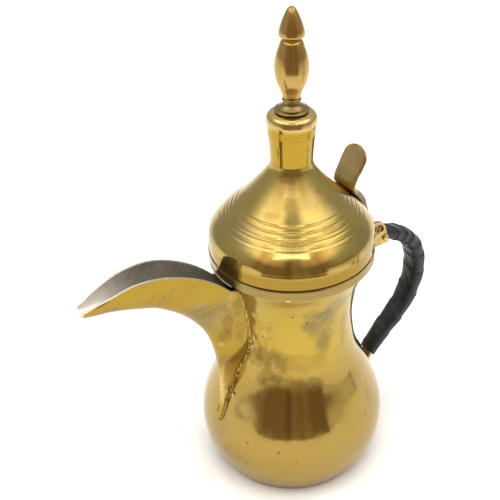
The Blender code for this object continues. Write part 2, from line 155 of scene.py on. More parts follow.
# ---------------------------------------------------------------- curves

def smooth(points, steps):
    """Points on a Catmull-Rom curve through the given points, steps to a span."""
    ends = [2 * Vector(points[0]) - Vector(points[1]), 2 * Vector(points[-1]) - Vector(points[-2])]
    keys = [ends[0]] + [Vector(point) for point in points] + [ends[1]]
    curve = []
    for a, b, c, d in zip(keys, keys[1:], keys[2:], keys[3:]):
        for step in range(steps):
            t = step / steps
            curve.append(0.5 * (2 * b + (c - a) * t + (2 * a - 5 * b + 4 * c - d) * t ** 2
                                + (3 * b - a - 3 * c + d) * t ** 3))
    return curve + [keys[-2]]


def inset(curve, distance):
    """The curve moved to its left-hand side, which for an outline that runs up is inward."""
    moved = []
    for index, point in enumerate(curve):
        along = curve[min(index + 1, len(curve) - 1)] - curve[max(index - 1, 0)]
        moved.append(point + distance * Vector((-along.y, along.x)).normalized())
    return moved


def strap_frame(line):
    """Each point of a line in the X-Z plane with its unit direction and distance along."""
    stations = []
    travelled = 0
    for index, point in enumerate(line):
        along = (line[min(index + 1, len(line) - 1)] - line[max(index - 1, 0)]).normalized()
        if index:
            travelled += (point - line[index - 1]).length
        stations.append((point, along, travelled))
    return stations


def radius_at(curve, height):
    """Radius of an outline at a height."""
    for low, high in zip(curve, curve[1:]):
        if low.y <= height <= high.y and high.y > low.y:
            return low.x + (high.x - low.x) * (height - low.y) / (high.y - low.y)
    return curve[-1].x if height > curve[-1].y else curve[0].x


def pot_surface(height, side, gap=GAP):
    """Distance from the axis, along X, to just outside the pot at a height and a Y."""
    return sqrt((radius_at(POT_CURVE, height) + gap) ** 2 - side ** 2)


def ease(value, low, high):
    """0 below low, 1 above high and smooth between."""
    t = min(1, max(0, (value - low) / (high - low)))
    return t * t * (3 - 2 * t)


def uneven(place, size, seed=0):
    """A smooth random number from -1 to 1, with features of about size millimetres."""
    return noise.noise(Vector(place) / size + Vector((seed * 7.3, seed * 3.1, seed * 5.7)))


def wavy(depth, size, squeeze=1):
    """How far a turned surface wanders in and out, for turned()."""
    return lambda r, z, angle: depth * uneven((r * cos(angle), r * sin(angle), z / squeeze), size)


def relaxed(curve, passes):
    """The curve with the flats between its given points evened out."""
    for _ in range(passes):
        curve = ([curve[0]] + [(a + 2 * b + c) / 4 for a, b, c in zip(curve, curve[1:], curve[2:])]
                 + [curve[-1]])
    return curve


POT_CURVE = relaxed(smooth(POT_OUTSIDE, 12), 14)


# ---------------------------------------------------------------- meshes

def placed(name, data):
    """A new object in the scene from a bmesh, which is used up."""
    mesh = bpy.data.meshes.new(name)
    data.to_mesh(mesh)
    data.free()
    made = bpy.data.objects.new(name, mesh)
    bpy.context.scene.collection.objects.link(made)
    return made


def piece(name, data, body, looks, stands_for=None, sharp=38):
    """A finished piece of the object, from a bmesh in millimetres."""
    bmesh.ops.recalc_face_normals(data, faces=data.faces)
    bmesh.ops.scale(data, vec=(MM, MM, MM), verts=data.verts)
    made = placed(name, data)
    made.data.shade_smooth()
    made.data.set_sharp_from_angle(angle=radians(sharp))
    for look in looks.split():
        made.data.materials.append(LOOKS[look])
    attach(made, body)
    if stands_for:
        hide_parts(stands_for)


def lofted(rings, data=None, closed=False, inside_from=None):
    """A bar through rings of points, its ends filled unless it closes on itself.

    Faces past inside_from along each ring get the second material.
    """
    data = data or bmesh.new()
    loops = [[data.verts.new(point) for point in ring] for ring in rings]
    count = len(rings[0])
    for loop, following in zip(loops, loops[1:] + loops[:1] if closed else loops[1:]):
        for index in range(count):
            after = (index + 1) % count
            face = data.faces.new((loop[index], loop[after], following[after], following[index]))
            if inside_from is not None and index >= inside_from:
                face.material_index = 1
    if not closed:
        data.faces.new(loops[0])
        data.faces.new(loops[-1])
    return data


def turned(outline, sides, worked=None, inside_from=None):
    """A ring turned about Z from a closed outline."""
    rings = []
    for side in range(sides):
        angle = 2 * pi * side / sides
        radii = [r + worked(r, z, angle) if worked else r for r, z in outline]
        rings.append([(r * cos(angle), r * sin(angle), z) for r, (_, z) in zip(radii, outline)])
    return lofted(rings, closed=True, inside_from=inside_from)


def solid(outline, sides):
    """A turned solid whose outline starts and ends on the axis."""
    data = turned(outline, sides)
    bmesh.ops.remove_doubles(data, verts=data.verts, dist=1e-4)
    bmesh.ops.dissolve_degenerate(data, edges=data.edges, dist=1e-5)
    return data


def wire(centre, out, up, size, count=10):
    """A round section of a wire: the directions of its section plane, and its radius."""
    turns = [2 * pi * step / count for step in range(count)]
    return [centre + out * size * cos(turn) + up * size * sin(turn) for turn in turns]


def oval(point, along, half_width, half_thickness, square, count, worked=None):
    """A closed rounded section across a line in the X-Z plane; a small square is boxier."""
    up = Vector((-along.y, along.x))
    ring = []
    for step in range(count):
        angle = 2 * pi * step / count
        y = half_width * copysign(abs(cos(angle)) ** square, cos(angle))
        rise = half_thickness * copysign(abs(sin(angle)) ** square, sin(angle))
        if worked:
            y, rise = worked(y, rise, angle)
        place = point + rise * up
        ring.append((place.x, y, place.y))
    return ring


def cross_bar(x, z, sections, count=40):
    """A round bar along Y through (y, radius) sections."""
    turns = [2 * pi * side / count for side in range(count)]
    return lofted([[(x + size * cos(turn), y, z + size * sin(turn)) for turn in turns]
                   for y, size in sections])


def drill(x, z, radius, count=32):
    """A long round cutter along Y, which leaves a gap round what goes in the hole."""
    return cross_bar(x, z, [(-20, radius + GAP), (20, radius + GAP)], count)


def carved(data, *cutters, joined=None, voxel=None, passes=0):
    """The bmesh joined to another, cut by others, then remeshed evenly and smoothed."""
    changes = [("UNION", joined)] if joined else []
    changes += [("DIFFERENCE", cutter) for cutter in cutters]
    bmesh.ops.recalc_face_normals(data, faces=data.faces)
    work = placed("work", data)
    used = [work]
    for operation, shape in changes:
        bmesh.ops.recalc_face_normals(shape, faces=shape.faces)
        used.append(placed("tool", shape))
        modifier = work.modifiers.new(operation, "BOOLEAN")
        modifier.operation, modifier.object = operation, used[-1]
    if voxel:
        modifier = work.modifiers.new("even", "REMESH")
        modifier.mode, modifier.voxel_size = "VOXEL", voxel
        modifier = work.modifiers.new("soften", "SMOOTH")
        modifier.factor, modifier.iterations = 0.5, passes
    shown = work.evaluated_get(bpy.context.evaluated_depsgraph_get())
    result = bmesh.new()
    result.from_mesh(shown.to_mesh())
    shown.to_mesh_clear()
    for spent in used:
        mesh = spent.data
        bpy.data.objects.remove(spent, do_unlink=True)
        bpy.data.meshes.remove(mesh)
    return result


def blobs(places):
    """Small flattened lumps: each is (centre, outward, along, half sizes along, across, out)."""
    data = bmesh.new()
    for index, (centre, outward, along, sizes) in enumerate(places):
        outward = Vector(outward).normalized()
        along = (Vector(along) - outward * Vector(along).dot(outward)).normalized()
        across = outward.cross(along)
        lump = bmesh.ops.create_uvsphere(data, u_segments=14, v_segments=8, radius=1)
        for vert in lump["verts"]:
            p = vert.co * (1 + 0.16 * uneven(vert.co + Vector((index * 3.7, 0, 0)), 0.8))
            vert.co = (Vector(centre) + along * p.x * sizes[0] + across * p.y * sizes[1]
                       + outward * p.z * sizes[2])
    return data


# ---------------------------------------------------------------- finishes

class Nodes:
    """Short ways to add nodes to a tree."""

    def __init__(self, tree):
        self.nodes, self.links = tree.nodes, tree.links

    def set(self, socket, value):
        if hasattr(value, "is_linked"):
            self.links.new(value, socket)
        else:
            socket.default_value = value

    def node(self, kind, output=0, **inputs):
        """A node's output: _name sets a property, i2 the third input, Name the input "Name"."""
        made = self.nodes.new("ShaderNode" + kind)
        for key, value in inputs.items():
            if key.startswith("_"):
                setattr(made, key[1:], value)
        for key, value in inputs.items():
            if key[0] == "i" and key[1:].isdigit():
                self.set(made.inputs[int(key[1:])], value)
            elif not key.startswith("_"):
                self.set(made.inputs[key], value)
        return made.outputs[output]

    def math(self, operation, *values):
        return self.node("Math", _operation=operation,
                         **{f"i{index}": value for index, value in enumerate(values)})

    def vector(self, operation, *values, output=0, **inputs):
        return self.node("VectorMath", output, _operation=operation, **inputs,
                         **{f"i{index}": value for index, value in enumerate(values)})

    def span(self, value, low, high, out_low=0.0, out_high=1.0, kind="SMOOTHSTEP"):
        """From out_low at low to out_high at high, and flat beyond."""
        return self.node("MapRange", _interpolation_type=kind, i0=value, i1=low, i2=high,
                         i3=out_low, i4=out_high)

    def xyz(self, place):
        return self.node("SeparateXYZ", i0=place).node.outputs


class Finish(Nodes):
    """A procedural metal or plastic, built up layer by layer in object space."""

    def __init__(self, name, colour, roughness, metallic=1.0):
        self.material = bpy.data.materials.new(name)
        self.material.use_nodes = True
        super().__init__(self.material.node_tree)
        self.shader = self.nodes["Principled BSDF"]
        self.shine("Metallic", metallic)
        self.place = self.node("TexCoord", "Object")
        self.x, self.y, self.z = self.xyz(self.place)
        self.colour = (*colour, 1)
        self.roughness = roughness
        self.bump = {}

    def shine(self, socket, value):
        self.set(self.shader.inputs[socket], value)

    def noise(self, size, detail=4, roughness=0.55, distortion=0.0, shift=0.0):
        """Noise with features of about size millimetres."""
        place = self.place
        if shift:
            place = self.vector("ADD", place, (shift, shift * 2, -shift))
        return self.node("TexNoise", Vector=place, Scale=1000 / size, Detail=detail,
                         Roughness=roughness, Distortion=distortion)

    def stretched(self, sizes, turn, detail, roughness=0.5):
        """Noise whose features are sizes millimetres along each axis after a turn."""
        place = self.node("Mapping", _vector_type="TEXTURE", Vector=self.place, Rotation=turn,
                          Scale=tuple(size * MM for size in sizes))
        return self.node("TexNoise", Vector=place, Scale=1.0, Detail=detail, Roughness=roughness)

    def rings(self, spacing):
        """Fine lines that run round the Z axis, as turning and polishing leave them."""
        squares = self.math("ADD", self.math("MULTIPLY", self.x, self.x),
                            self.math("MULTIPLY", self.y, self.y))
        angle = self.math("MULTIPLY", self.math("ARCTAN2", self.y, self.x), 0.0006)
        place = self.node("CombineXYZ", X=self.math("SQRT", squares), Y=angle, Z=self.z)
        return self.node("TexNoise", Vector=place, Scale=1000 / spacing, Detail=3, Roughness=0.6)

    def spot(self, centre, sizes, edge=0.35, ragged=0.35, size=6, cloudy=0.0):
        """A ragged oval mark at a place on the object: centre and half sizes in millimetres."""
        wander = self.node("TexNoise", 1, Vector=self.place, Scale=1000 / size, Detail=3,
                           Roughness=0.6)
        wander = self.vector("SCALE", self.vector("SUBTRACT", wander, (0.5, 0.5, 0.5)),
                             Scale=2 * ragged)
        local = self.node("Mapping", _vector_type="TEXTURE", Vector=self.place,
                          Location=tuple(c * MM for c in centre),
                          Scale=tuple(s * MM for s in sizes))
        far = self.vector("LENGTH", self.vector("ADD", local, wander), output=1)
        mark = self.span(far, 1.0, 1.0 - edge)
        if cloudy:
            holes = self.span(self.noise(size, 5, 0.65, shift=0.8), 0.38, 0.6, 1 - cloudy, 1.0)
            mark = self.math("MULTIPLY", mark, holes)
        return mark

    def dots(self, places, size):
        """Small marks of a radius in millimetres at places on the object."""
        worn = self.noise(1.2, 2)
        marks = 0.0
        for place in places:
            far = self.vector("DISTANCE", self.place, tuple(c * MM for c in place), output=1)
            far = self.math("MULTIPLY_ADD", worn, size * MM, far)
            marks = self.math("MAXIMUM", marks, self.span(far, 1.7 * size * MM, size * MM))
        return marks

    def pits(self, spacing, size, share):
        """Small round pits, in a share of the cells of a loose net."""
        net = self.node("TexVoronoi", Vector=self.place, Scale=1000 / spacing).node.outputs
        chance = self.node("SeparateColor", i0=net["Color"]).node.outputs
        reach = self.math("MULTIPLY", chance[1], size / spacing)
        return self.math("MULTIPLY", self.math("LESS_THAN", net["Distance"], reach),
                         self.math("LESS_THAN", chance[0], share))

    def hairlines(self, sizes, turn, width):
        """Thin wandering scratches along the long axis of the sizes."""
        lines = self.stretched(sizes, turn, detail=2)
        return self.span(self.math("ABSOLUTE", self.math("SUBTRACT", lines, 0.5)), width, 0.0)

    def tint(self, mask, colour, amount=1.0):
        """Moves the colour toward another where the mask is 1."""
        if amount != 1.0:
            mask = self.math("MULTIPLY", mask, amount)
        self.colour = self.node("Mix", 2, _data_type="RGBA", i0=mask, i6=self.colour,
                                i7=(*colour, 1))

    def clouds(self, size, detail, low, high, colour, amount, **settings):
        """Tints the parts where a noise is between two levels or past the second."""
        self.tint(self.span(self.noise(size, detail, **settings), low, high), colour, amount)

    def rough(self, mask, amount):
        """Adds to the roughness where the mask is 1."""
        self.roughness = self.math("MULTIPLY_ADD", mask, amount, self.roughness)

    def patches(self, rows, rougher, **settings):
        """Spots of (centre, half sizes, colour, amount) that are also rougher."""
        for centre, sizes, colour, amount in rows:
            mask = self.spot(centre, sizes, **settings)
            self.tint(mask, colour, amount)
            self.rough(mask, rougher)

    def raise_by(self, height, depth):
        """Bump of a depth in millimetres for a height that goes from 0 to 1."""
        normal = self.node("Bump", _invert=depth < 0, Strength=1.0, Distance=abs(depth) * MM,
                           Height=height, **self.bump)
        self.bump = {"Normal": normal}

    def done(self):
        for socket, value in {"Base Color": self.colour, "Roughness": self.roughness,
                              **self.bump}.items():
            self.shine(socket, value)
        return self.material


# Colours that several finishes share.
BRASS = (0.375, 0.258, 0.068)
CLEAN = (0.465, 0.33, 0.055)
DEEP = (0.35, 0.23, 0.04)
TAN = (0.34, 0.255, 0.1)
BROWN = (0.19, 0.115, 0.035)
GREY = (0.27, 0.215, 0.1)
PALE = (0.6, 0.48, 0.22)
PIT = (0.07, 0.045, 0.02)


def around(degrees, radius, height):
    """A place on the pot, an angle to the right of the side that faces the camera."""
    angle = VIEW_AZIMUTH + radians(degrees)
    return (radius * cos(angle), radius * sin(angle), height)


def raised_brass():
    """Hand-raised sheet, polished but worn: cloudy tarnish, patches, some painted reflections,
    pits, fine scratches.
    """
    finish = Finish("raised_brass", BRASS, 0.09)
    height = finish.math("MULTIPLY_ADD", finish.noise(40, 3), 0.05, finish.z)
    neck = finish.span(height, 0.1, 0.125)
    finish.tint(neck, CLEAN)
    finish.clouds(34, 5, 0.44, 0.66, DEEP, 0.22, roughness=0.6)
    mottle = finish.noise(9, 4, 0.6, shift=0.31)
    finish.tint(finish.span(mottle, 0.48, 0.75), TAN, 0.3)
    finish.patches((
            (around(24, 37, 120), (13, 13, 14), (0.21, 0.165, 0.07), 0.8),
            (around(38, 37, 131), (10, 10, 10), (0.23, 0.18, 0.075), 0.7),
            (around(30, 36, 104), (7, 7, 11), (0.2, 0.15, 0.06), 0.7),
            (around(54, 36, 106), (4, 4, 17), GREY, 0.6),
            (around(8, 36, 92), (20, 20, 8), DEEP, 0.7),
            (around(12, 40, 77), (17, 17, 6), BROWN, 0.45),
            (around(-20, 36, 90), (14, 14, 16), BROWN, 0.5),
            (around(-6, 40, 78), (18, 18, 7), BROWN, 0.5),
            # Painted reflection: this dark brown spot beside the seam's top stands for the spout's
            # wall mirrored in the neck.
            (around(-33, 37, 126), (3.5, 3.5, 9), BROWN, 0.55),
            # Painted reflection: this olive spot on the belly's right stands for the table's corner
            # mirrored there.
            (around(60, 44, 66), (7, 7, 9), GREY, 0.45),
            (around(-40, 50, 56), (5, 5, 8), (0.25, 0.18, 0.06), 0.6),
            (around(66, 52, 52), (6, 6, 10), GREY, 0.6),
            (around(-38, 54, 25), (15, 15, 8), BROWN, 0.3),
            (around(42, 55, 30), (17, 17, 10), TAN, 0.4),
            (around(2, 53, 13), (24, 24, 5), DEEP, 0.5),
            (around(-14, 54, 62), (7, 7, 5), PALE, 0.35),
            (around(-52, 55, 40), (9, 9, 15), GREY, 0.35),
            (around(100, 40, 100), (15, 15, 20), GREY, 0.6),
            (around(-120, 50, 60), (18, 18, 14), TAN, 0.6),
            (around(170, 45, 70), (18, 18, 16), GREY, 0.5)),
        0.1, ragged=0.6, edge=0.45, size=9, cloudy=0.45)
    # A pale spot ringed with dark on the belly toward the spout: partly a solder mark, partly a
    # painted reflection of the spout's end.
    ring = finish.spot(around(-36.5, 48, 58), (7.4, 7.4, 8.2), ragged=0.4, edge=0.35, cloudy=0.5)
    finish.tint(ring, (0.22, 0.15, 0.05), 0.6)
    inner = finish.spot(around(-35, 48, 59), (5.4, 5.4, 6.2), ragged=0.4, edge=0.4)
    finish.tint(inner, (0.46, 0.335, 0.11), 0.8)
    finish.rough(inner, 0.18)
    beside = finish.spot(around(-26, 37, 98), (13, 13, 32), ragged=0.5, edge=0.6)
    finish.rough(beside, 0.22)
    smear = finish.stretched((4.5, 4.5, 9), (0.3, 0.2, 0), detail=5, roughness=0.6)
    finish.tint(finish.math("MULTIPLY", beside, finish.span(smear, 0.52, 0.66)), PALE, 0.28)
    finish.tint(finish.math("MULTIPLY", beside, finish.span(smear, 0.46, 0.38)), BROWN, 0.6)
    lines = finish.hairlines((1.2, 1.2, 40), (0.5, 0.3, 0), 0.012)
    finish.rough(lines, 0.12)
    finish.rough(finish.span(mottle, 0.4, 0.75), 0.09)
    pits = finish.pits(13, 1.0, 0.25)
    pits = finish.math("MAXIMUM", pits, finish.dots(
        [around(*place) for place in ((3, 55.6, 33), (-8, 55, 39), (-28, 54.8, 40.6), (62, 36, 99),
                                      (71, 47, 59), (64, 50.5, 51), (56, 53, 45), (1, 38.6, 127),
                                      (-26, 36.2, 108), (13, 37.5, 121), (-6, 38, 86))], 0.75))
    fine = finish.pits(5, 0.34, 0.3)
    finish.tint(pits, PIT, 0.8)
    finish.tint(fine, BROWN, 0.8)
    finish.raise_by(finish.noise(16, 2, 0.4), 0.07)
    finish.raise_by(finish.noise(2.2, 3, 0.5), 0.003)
    finish.raise_by(finish.math("MAXIMUM", pits, fine), -0.08)
    return finish.done()


def spout_brass():
    """The spout's outside: rich brass, rough at its root with a painted highlight there, coppery
    under the tip, scratched.
    """
    finish = Finish("spout_brass", (0.37, 0.246, 0.036), 0.12)
    finish.clouds(24, 5, 0.45, 0.65, DEEP, 0.5, roughness=0.6, shift=0.7)
    finish.patches((
            ((-64, -10, 124), (14, 14, 15), (0.29, 0.24, 0.105), 0.9),
            ((-67, -10, 135), (9, 12, 9), (0.32, 0.26, 0.11), 0.85),
            ((-53, -9, 128), (9, 9, 14), (0.33, 0.26, 0.11), 0.7),
            ((-52, -9, 104), (3, 6, 4), PALE, 0.5),
            ((-50, -9, 111), (6, 9, 8), BROWN, 0.55),
            ((-48, -8, 120), (4.5, 7, 11), (0.2, 0.13, 0.045), 0.6),
            ((-42, -8, 128), (4, 7, 8), (0.27, 0.2, 0.07), 0.6),
            ((-41, -8, 112), (4, 7, 9), (0.25, 0.17, 0.055), 0.5),
            ((-57, -9, 101), (6, 8, 6), CLEAN, 0.8),
            ((-50, -7, 90), (8, 9, 8), (0.28, 0.185, 0.06), 0.7),
            ((-47, -9, 136), (4, 5, 6), PALE, 0.35),
            ((-114, -3, 156), (14, 9, 4.5), (0.34, 0.18, 0.08), 0.75),
            ((-90, -10, 152), (9, 6, 5), TAN, 0.3)),
        0.12, ragged=0.8, edge=0.5, cloudy=0.45)
    # Painted highlight: the spout's foot is tinted pale and made rougher.
    foot_highlight = finish.spot((-46, -3, 68), (10, 10, 24), ragged=0.12, edge=0.6)
    finish.tint(foot_highlight, (0.8, 0.62, 0.25), 0.85)
    finish.rough(foot_highlight, 0.15)
    where = finish.spot((-82, -10, 155.5), (19, 8, 4.5), ragged=0.3, edge=0.5)
    lines = finish.hairlines((1.8, 30, 16), (0, 0.5, 0), 0.02)
    lines = finish.math("MULTIPLY", lines, where)
    finish.tint(lines, BROWN, 0.75)
    finish.rough(finish.span(finish.noise(8, 4), 0.45, 0.7), 0.1)
    pits = finish.pits(10, 0.7, 0.35)
    finish.tint(pits, PIT, 0.8)
    finish.raise_by(finish.noise(9, 2, 0.4), 0.05)
    finish.raise_by(finish.math("MAXIMUM", pits, lines), -0.04)
    return finish.done()


def tin_lining():
    """Tinned metal inside the spout and pot: grey, brushed, and darker toward the pot with painted
    shade.
    """
    finish = Finish("tin_lining", (0.8, 0.77, 0.7), 0.34, metallic=0.4)
    # Painted shade: the trough grows darker toward the pot.
    inward = finish.span(finish.x, -0.122, -0.082)
    finish.tint(inward, (0.19, 0.17, 0.13), 0.88)
    finish.clouds(18, 5, 0.42, 0.66, (0.36, 0.34, 0.28), 0.5, roughness=0.6)
    finish.clouds(8, 5, 0.5, 0.66, (0.3, 0.265, 0.19), 0.45, roughness=0.65, shift=0.4)
    brushed = finish.stretched((0.35, 7, 7), (0, 0.6, 0), detail=3)
    finish.tint(finish.span(brushed, 0.4, 0.75), (0.8, 0.78, 0.73), 0.35)
    finish.rough(brushed, 0.12)
    finish.raise_by(brushed, 0.01)
    finish.raise_by(finish.noise(5, 2), 0.03)
    return finish.done()


def turned_brass(name, colour, roughness, grain, marks=(), lower=None, dull_above=None):
    """Spun and lathe-turned brass, with rings of fine polishing lines grain millimetres deep.

    lower is a height in metres and the colour below it; above dull_above it is duller.
    """
    finish = Finish(name, colour, roughness)
    finish.shine("Anisotropic", 0.2)
    finish.shine("Tangent", finish.node("Tangent", _direction_type="RADIAL", _axis="Z"))
    coarse = finish.rings(1.6)
    fine = finish.rings(0.4)
    finish.clouds(22, 5, 0.45, 0.66, DEEP, 0.35, roughness=0.6)
    finish.tint(finish.span(coarse, 0.5, 0.75), TAN, 0.25)
    finish.clouds(6, 5, 0.56, 0.7, BROWN, 0.22, roughness=0.65, shift=0.5)
    if lower:
        finish.tint(finish.span(finish.z, lower[0], lower[0] - 0.003), lower[1])
        if dull_above:
            finish.rough(finish.span(finish.z, dull_above, dull_above + 0.006), 0.13)
    for mark in marks:
        least = min(mark[1])
        broad = least >= 4
        finish.patches([mark], 0.1, ragged=0.12 if least < 1 else 0.5, edge=0.6,
                       size=10 if broad else 3, cloudy=0.4 if broad else 0)
    finish.rough(finish.span(coarse, 0.3, 0.75), 0.05)
    pits = finish.pits(8, 0.6, 0.4)
    finish.tint(pits, PIT, 0.75)
    finish.raise_by(coarse, grain * 1.6)
    finish.raise_by(fine, grain * 0.5)
    finish.raise_by(pits, -0.05)
    return finish.done()


def cast_brass(name, colour, stem_shade=0.0):
    """Cast and filed brass: dull, tan, with a grainy skin and darker hollows. Its last argument
    paints shade on the lever's stem below the paddle.
    """
    finish = Finish(name, colour, 0.28)
    # Painted shade: the stem below the paddle is darkened by the last argument.
    finish.tint(finish.span(finish.z, 0.176, 0.169), (0.17, 0.14, 0.09), stem_shade)
    finish.clouds(14, 4, 0.4, 0.65, (0.36, 0.25, 0.09), 0.6)
    finish.clouds(3, 5, 0.52, 0.7, BROWN, 0.4, roughness=0.7, shift=0.4)
    finish.rough(finish.span(finish.noise(4, 4), 0.35, 0.7), 0.16)
    pits = finish.pits(4.5, 0.42, 0.4)
    finish.tint(pits, PIT, 0.7)
    finish.raise_by(finish.noise(5, 3), 0.08)
    finish.raise_by(finish.noise(0.9, 3, 0.6), 0.02)
    finish.raise_by(pits, -0.05)
    return finish.done()


def band_brass():
    """The tarnished hoop round the mouth: tan to grey, scratched along its length."""
    finish = Finish("band_brass", (0.35, 0.24, 0.07), 0.2)
    finish.clouds(26, 4, 0.4, 0.6, (0.28, 0.21, 0.085), 0.7)
    lines = finish.rings(0.5)
    finish.tint(finish.span(lines, 0.5, 0.8), BROWN, 0.45)
    finish.clouds(4, 5, 0.55, 0.72, PIT, 0.35, roughness=0.7, shift=0.2)
    finish.rough(finish.span(lines, 0.35, 0.75), 0.16)
    finish.raise_by(lines, 0.03)
    finish.raise_by(finish.noise(3, 3), 0.04)
    return finish.done()


def solder_metal(name, lumps):
    """Brazing solder: lumpy, mixed cream, brass and brown."""
    finish = Finish(name, (0.42, 0.285, 0.065), 0.34)
    finish.clouds(5, 4, 0.42, 0.6, (0.36, 0.24, 0.05), 0.6, roughness=0.6)
    finish.clouds(2.4, 4, 0.54, 0.68, BROWN, 0.4, roughness=0.7, shift=0.6)
    finish.clouds(7, 3, 0.58, 0.66, (0.55, 0.44, 0.2), 0.35, shift=0.9)
    finish.rough(finish.span(finish.noise(3, 3), 0.4, 0.7), 0.12)
    finish.raise_by(finish.noise(3.5, 3, 0.5), lumps)
    finish.raise_by(finish.noise(0.8, 3, 0.6), 0.012)
    return finish.done()


def scorched():
    """The dark oxide in the seam's slots."""
    finish = Finish("scorched", (0.04, 0.021, 0.01), 0.65, metallic=0.2)
    finish.shine("Specular IOR Level", 0.1)
    finish.clouds(1.2, 3, 0.5, 0.7, (0.12, 0.07, 0.03), 0.6)
    finish.raise_by(finish.noise(0.5, 2), 0.03)
    return finish.done()


def worn_steel():
    """Steel of the pin, rod and nut: grey with brown rust in its grain."""
    finish = Finish("worn_steel", (0.42, 0.4, 0.37), 0.34)
    finish.clouds(2.5, 5, 0.48, 0.66, (0.2, 0.12, 0.06), 0.6, roughness=0.65)
    finish.rough(finish.span(finish.noise(2.5, 4), 0.4, 0.7), 0.2)
    finish.raise_by(finish.noise(0.9, 4, 0.6), 0.03)
    return finish.done()


def black_tape():
    """The black strip: slightly glossy, creased, dusty on its raised edges."""
    finish = Finish("black_tape", (0.015, 0.017, 0.018), 0.34, metallic=0.0)
    finish.shine("Specular IOR Level", 0.3)
    dust = finish.noise(7, 5, 0.65)
    finish.tint(finish.span(dust, 0.45, 0.7), (0.036, 0.038, 0.038), 0.7)
    finish.clouds(1.5, 4, 0.6, 0.75, (0.11, 0.105, 0.095), 0.35, roughness=0.7, shift=0.3)
    finish.rough(finish.span(dust, 0.4, 0.7), 0.14)
    finish.raise_by(finish.noise(4.5, 3, 0.55, distortion=1.2), 0.22)
    finish.raise_by(finish.noise(0.7, 3, 0.6), 0.022)
    return finish.done()


# ---------------------------------------------------------------- pot

def spout_keys(rows):
    """Stations along the trough: keel and edge points in the X-Z plane, and half width."""
    keys = [(kx, kz, -pot_surface(ez, w), ez, w) for kx, kz, ez, w in SPOUT_ON_POT]
    stations = smooth(keys + SPOUT_FREE, rows)
    for index in range(len(SPOUT_ON_POT) * rows):
        station = stations[index]
        if station[3] < SPOUT_FREE[0][3]:
            station[2] = -pot_surface(station[3], station[4])
    return stations


def seam_distance(place):
    """How far a place on the pot is outside the spout's edge, round either side."""
    x, y, z = place
    if x > 0 or not SEAM_FOOT <= z <= SEAM_TOP:
        return OFF_SEAM
    for low, high in zip(SEAM_LINE, SEAM_LINE[1:]):
        if low[0] <= z <= high[0]:
            return abs(y) - low[1] - (high[1] - low[1]) * (z - low[0]) / (high[0] - low[0])
    return OFF_SEAM


def pot_worked(r, z, angle):
    """Planishing marks and the solder that ran out beside the seam."""
    place = (r * cos(angle), r * sin(angle), z)
    change = 0.1 * uneven(place, 19) + 0.05 * uneven(place, 8, 1)
    near = seam_distance(place)
    if -2 < near < 24:
        spread = 13 if place[1] < 0 else 8
        mask = (1 - ease(near, 3, spread)) * ease(z, 52, 66) * (1 - ease(z, 122, 134))
        mask *= ease(uneven(place, 11, 2), -0.35, 0.35)
        change += mask * (0.28 + 0.42 * uneven(place, 4, 3) + 0.24 * uneven(place, 2, 4))
    return change


